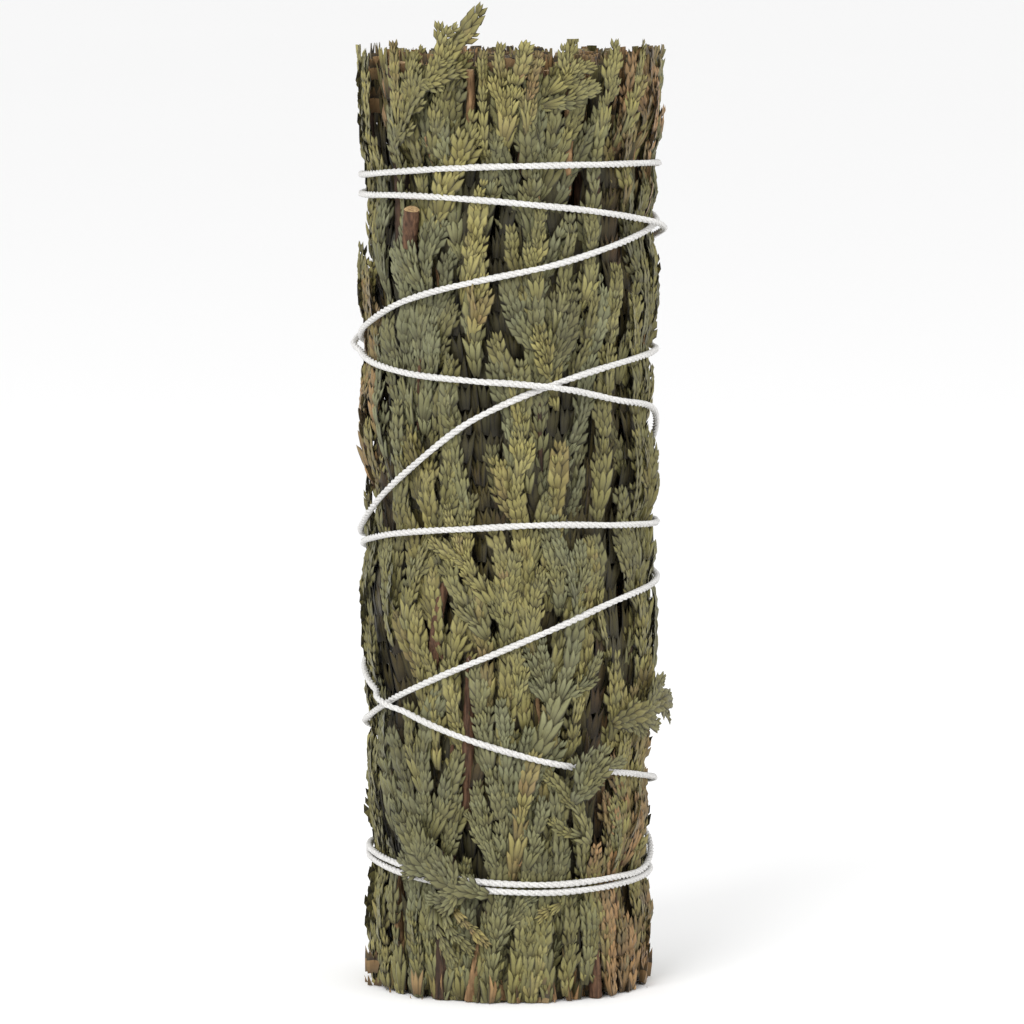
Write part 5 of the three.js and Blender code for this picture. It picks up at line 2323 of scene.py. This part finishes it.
@dataclass
class BindingThread:
    """One cotton thread of three twisted plies, with its knot and loose fibres."""

    surface: BundleSurface
    material: Material
    ply_radius: float = 0.29 * MM
    ply_distance: float = 0.24 * MM
    twist: float = 3.2 * MM
    point_pitch: float = 0.45 * MM
    plies: int = 3
    ply_sides: int = 4
    fibre_pitch: float = 1.1 * MM
    knot_gap: float = 1.5
    knot_loop: float = 0.64 * MM
    tail: float = 5 * MM
    tail_ways: tuple[Place, ...] = ((-0.5, 0.12, -0.85), (0.62, 0.04, -0.75))
    fibre_length: float = 0.55 * MM
    fibre_sizes: tuple[float, float] = (0.5, 1.3)
    fibre_tip: float = 0.006 * MM
    fibre_root: float = 0.016 * MM
    knot_tilt: float = 0.4
    seed: int = 5

    def centre_line(self) -> Array:
        """Returns the thread's centre line from one end to the other, both inside the knot."""
        route = self.surface.route
        unwound = np.arange(route.start + self.knot_gap, route.last - self.knot_gap, 0.75)
        return self.surface.thread_points(unwound)

    def knot_lines(self) -> list[Array]:
        """Returns the lines of the knot's loops and of its two tails.

        Returns:
            The lines.
        """
        start = np.array(self.surface.route.start)
        out = outwards(start)
        centre = self.surface.thread_points(start) + out * self.knot_loop
        angle = np.linspace(0, 2 * math.pi, 61)
        swell = self.knot_loop * (2 + np.cos(3 * angle)) * 0.5
        back, up = swell * np.sin(2 * angle), self.knot_loop * 0.5 * np.sin(3 * angle)
        cosine, sine = math.cos(self.knot_tilt), math.sin(self.knot_tilt)
        loop = [swell * np.cos(2 * angle), back * cosine - up * sine, back * sine + up * cosine]
        lines = [centre + np.stack(loop, -1)]
        share = np.linspace(0, 1, 20)[:, None]
        for way in self.tail_ways:
            lines.append(centre + np.array(way) * self.tail * share)
        return lines

    def thread_tree(self) -> Tree:
        """Builds the tree that twists three plies round a line and roughens them with fibres.

        Returns:
            The tree.
        """
        tree = Tree("twisted_thread")
        for name in ("Ply Radius", "Ply Distance", "Twist", "Point Pitch", "Fibre Length"):
            tree.add_input(name, "NodeSocketFloat")
        tree.add_input("Material", "NodeSocketMaterial")
        given = tree.given
        curve = tree.node("GeometryNodeMeshToCurve", {"Mesh": given["Geometry"]}).outputs["Curve"]
        paced = {"Curve": curve, "Length": given["Point Pitch"]}
        even = tree.node("GeometryNodeResampleCurve", paced, mode="LENGTH").outputs["Curve"]
        run = tree.node("GeometryNodeSplineParameter").outputs["Length"]
        normal = tree.node("GeometryNodeInputNormal").outputs["Normal"]
        tangent = tree.node("GeometryNodeInputTangent").outputs["Tangent"]
        across = tree.vectors("CROSS_PRODUCT", tangent, normal)
        round_ply = {"Resolution": self.ply_sides, "Radius": given["Ply Radius"]}
        ring = tree.node("GeometryNodeCurvePrimitiveCircle", round_ply).outputs["Curve"]
        turned = tree.maths("MULTIPLY", tree.maths("DIVIDE", run, given["Twist"]), 2 * math.pi)
        join = tree.node("GeometryNodeJoinGeometry")
        for ply in range(self.plies):
            angle = tree.maths("ADD", turned, ply * 2 * math.pi / self.plies)
            parts = []
            for operation, axis in (("COSINE", normal), ("SINE", across)):
                reach = tree.maths("MULTIPLY", tree.maths(operation, angle), given["Ply Distance"])
                parts.append(tree.vectors("SCALE", axis, reach))
            offset = {"Geometry": even, "Offset": tree.vectors("ADD", *parts)}
            line = tree.node("GeometryNodeSetPosition", offset).outputs["Geometry"]
            swept = {"Curve": line, "Profile Curve": ring, "Fill Caps": True}
            tree.feed(join.inputs["Geometry"], tree.node("GeometryNodeCurveToMesh", swept).outputs["Mesh"])
        tree.feed(join.inputs["Geometry"], self.fibres(tree, even))
        shade = tree.node("GeometryNodeSetShadeSmooth", {"Geometry": join.outputs["Geometry"]})
        tree.finish(shade.outputs["Geometry"])
        return tree

    def fibres(self, tree: Tree, curve: Any) -> Any:
        """Adds short loose fibres that stand off the thread and returns their geometry.

        Args:
            tree: The tree that they are added to.
            curve: The socket with the thread's line.

        Returns:
            The socket with the fibres.
        """
        shape = {
            "Vertices": 3,
            "Radius Top": self.fibre_tip,
            "Radius Bottom": self.fibre_root,
            "Depth": tree.given["Fibre Length"],
        }
        cone = tree.node("GeometryNodeMeshCone", shape).outputs["Mesh"]
        shifted = {"Geometry": cone, "Translation": (0, 0, self.ply_distance)}
        shift = tree.node("GeometryNodeTransform", shifted)
        any_turn = {0: (-math.pi,) * 3, 1: (math.pi,) * 3, "Seed": self.seed}
        spin = tree.node("FunctionNodeRandomValue", any_turn, data_type="FLOAT_VECTOR")
        any_size = {2: self.fibre_sizes[0], 3: self.fibre_sizes[1], "Seed": self.seed + 1}
        size = tree.node("FunctionNodeRandomValue", any_size, data_type="FLOAT")
        paced = {"Curve": curve, "Length": self.fibre_pitch}
        points = tree.node("GeometryNodeCurveToPoints", paced, mode="LENGTH")
        fed = {
            "Points": points.outputs["Points"],
            "Instance": shift.outputs["Geometry"],
            "Rotation": spin.outputs[0],
            "Scale": size.outputs[1],
        }
        return tree.node("GeometryNodeInstanceOnPoints", fed).outputs["Instances"]

    def build(self) -> None:
        """Makes the thread in place of its solid."""
        joined = Joined()
        for line in [self.centre_line(), *self.knot_lines()]:
            joined.add(line, [(i, i + 1) for i in range(len(line) - 1)])
        mesh = bpy.data.meshes.new("thread_lines")
        mesh.from_pydata([tuple(map(float, p)) for p in np.concatenate(joined.points)], joined.corners, [])
        source = bpy.data.objects.new("thread_lines", mesh)
        bpy.context.collection.objects.link(source)
        values = {
            "Ply Radius": self.ply_radius,
            "Ply Distance": self.ply_distance,
            "Twist": self.twist,
            "Point Pitch": self.point_pitch,
            "Fibre Length": self.fibre_length,
            "Material": self.material,
        }
        piece = run_tree(source, self.thread_tree(), values, "cotton_thread")
        ride(piece, Slot.COTTON, "binding_thread")


# Studio


@dataclass
class Studio:
    """The pale floor, the soft lights and the camera."""

    camera_place: Place = (0.0, -1.100, 0.194)
    aim: Place = (0.0003, 0.0, 0.0711)
    lens: float = 259.5
    sensor: float = 36.0
    floor_size: float = 30.0
    sky: float = 1.0
    lights: tuple[tuple[str, Place, float, float], ...] = (
        ("key", (-0.35, -0.75, 0.75), 0.45, 6.0),
        ("fill", (0.65, -0.6, 0.35), 0.6, 1.5),
    )

    def light(self, name: str, place: Place, size: float, power: float) -> None:
        """Adds a square soft light that faces the bundle.

        Args:
            name: Its name.
            place: Where it hangs.
            size: Length of its side.
            power: Its power in watts.
        """
        lamp = bpy.data.lights.new(name, "AREA")
        lamp.size = size
        lamp.energy = power
        made = bpy.data.objects.new(name, lamp)
        made.location = place
        way = Vector((0, 0, BUNDLE_HEIGHT / 2)) - Vector(place)
        made.rotation_euler = way.to_track_quat("-Z", "Y").to_euler()
        bpy.context.collection.objects.link(made)

    def build(self) -> None:
        """Makes the camera, the lights and the floor."""
        camera = bpy.data.cameras.new("camera")
        camera.lens = self.lens
        camera.sensor_width = self.sensor
        camera.clip_start = 0.05
        holder = bpy.data.objects.new("camera", camera)
        holder.location = self.camera_place
        way = Vector(self.aim) - Vector(self.camera_place)
        holder.rotation_euler = way.to_track_quat("-Z", "Y").to_euler()
        bpy.context.collection.objects.link(holder)
        bpy.context.scene.camera = holder
        world = bpy.data.worlds.new("studio")
        world.use_nodes = True
        world.node_tree.nodes["Background"].inputs["Color"].default_value = (1, 1, 1, 1)
        world.node_tree.nodes["Background"].inputs["Strength"].default_value = self.sky
        bpy.context.scene.world = world
        bpy.context.scene.view_settings.view_transform = "Standard"
        for name, place, size, power in self.lights:
            self.light(name, place, size, power)
        half = self.floor_size / 2
        corners = [(-half, -half, 0), (half, -half, 0), (half, half, 0), (-half, half, 0)]
        floor = mesh_object("floor", corners, [(0, 1, 2, 3)])
        floor.data.materials.append(FloorFinish().build())


def write_sizes() -> None:
    """Brings every placement in the scene up to date."""
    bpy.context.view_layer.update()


def main() -> None:
    """Builds the studio and every part of the bundle in order."""
    logging.basicConfig(level=logging.INFO, format="%(message)s")
    Studio().build()
    surface = BundleSurface(ThreadRoute())
    cut_leaves = CutWoodFinish("cut_leaves", (0.24, 0.19, 0.08), (0.10, 0.07, 0.03)).build()
    leaves = LeafMaker(LeafFinish().build(), cut_leaves)
    PressedSprays(surface, leaves).build()
    CoreSprigs(leaves).build()
    CutEnds(leaves).build()
    LaidSprays(surface, leaves).build()
    LooseSprigs(surface, leaves).build()
    leaves.clear()
    barks = {
        Slot.DARK_WOOD: BarkFinish("dark_bark", (0.012, 0.007, 0.005), (0.075, 0.042, 0.024)).build(),
        Slot.RED_WOOD: BarkFinish("red_bark", (0.030, 0.014, 0.008), (0.140, 0.072, 0.038)).build(),
        Slot.TAN_WOOD: BarkFinish("tan_bark", (0.110, 0.060, 0.026), (0.330, 0.200, 0.095)).build(),
    }
    cut_wood = CutWoodFinish().build()
    BareStems(surface, StemMaker(cut_wood), barks).build()
    WoodyTwigs(surface, StemMaker(cut_wood, sides=8), barks).build()
    BindingThread(surface, CottonFinish().build()).build()
    write_sizes()


if __name__ == "__main__":
    main()
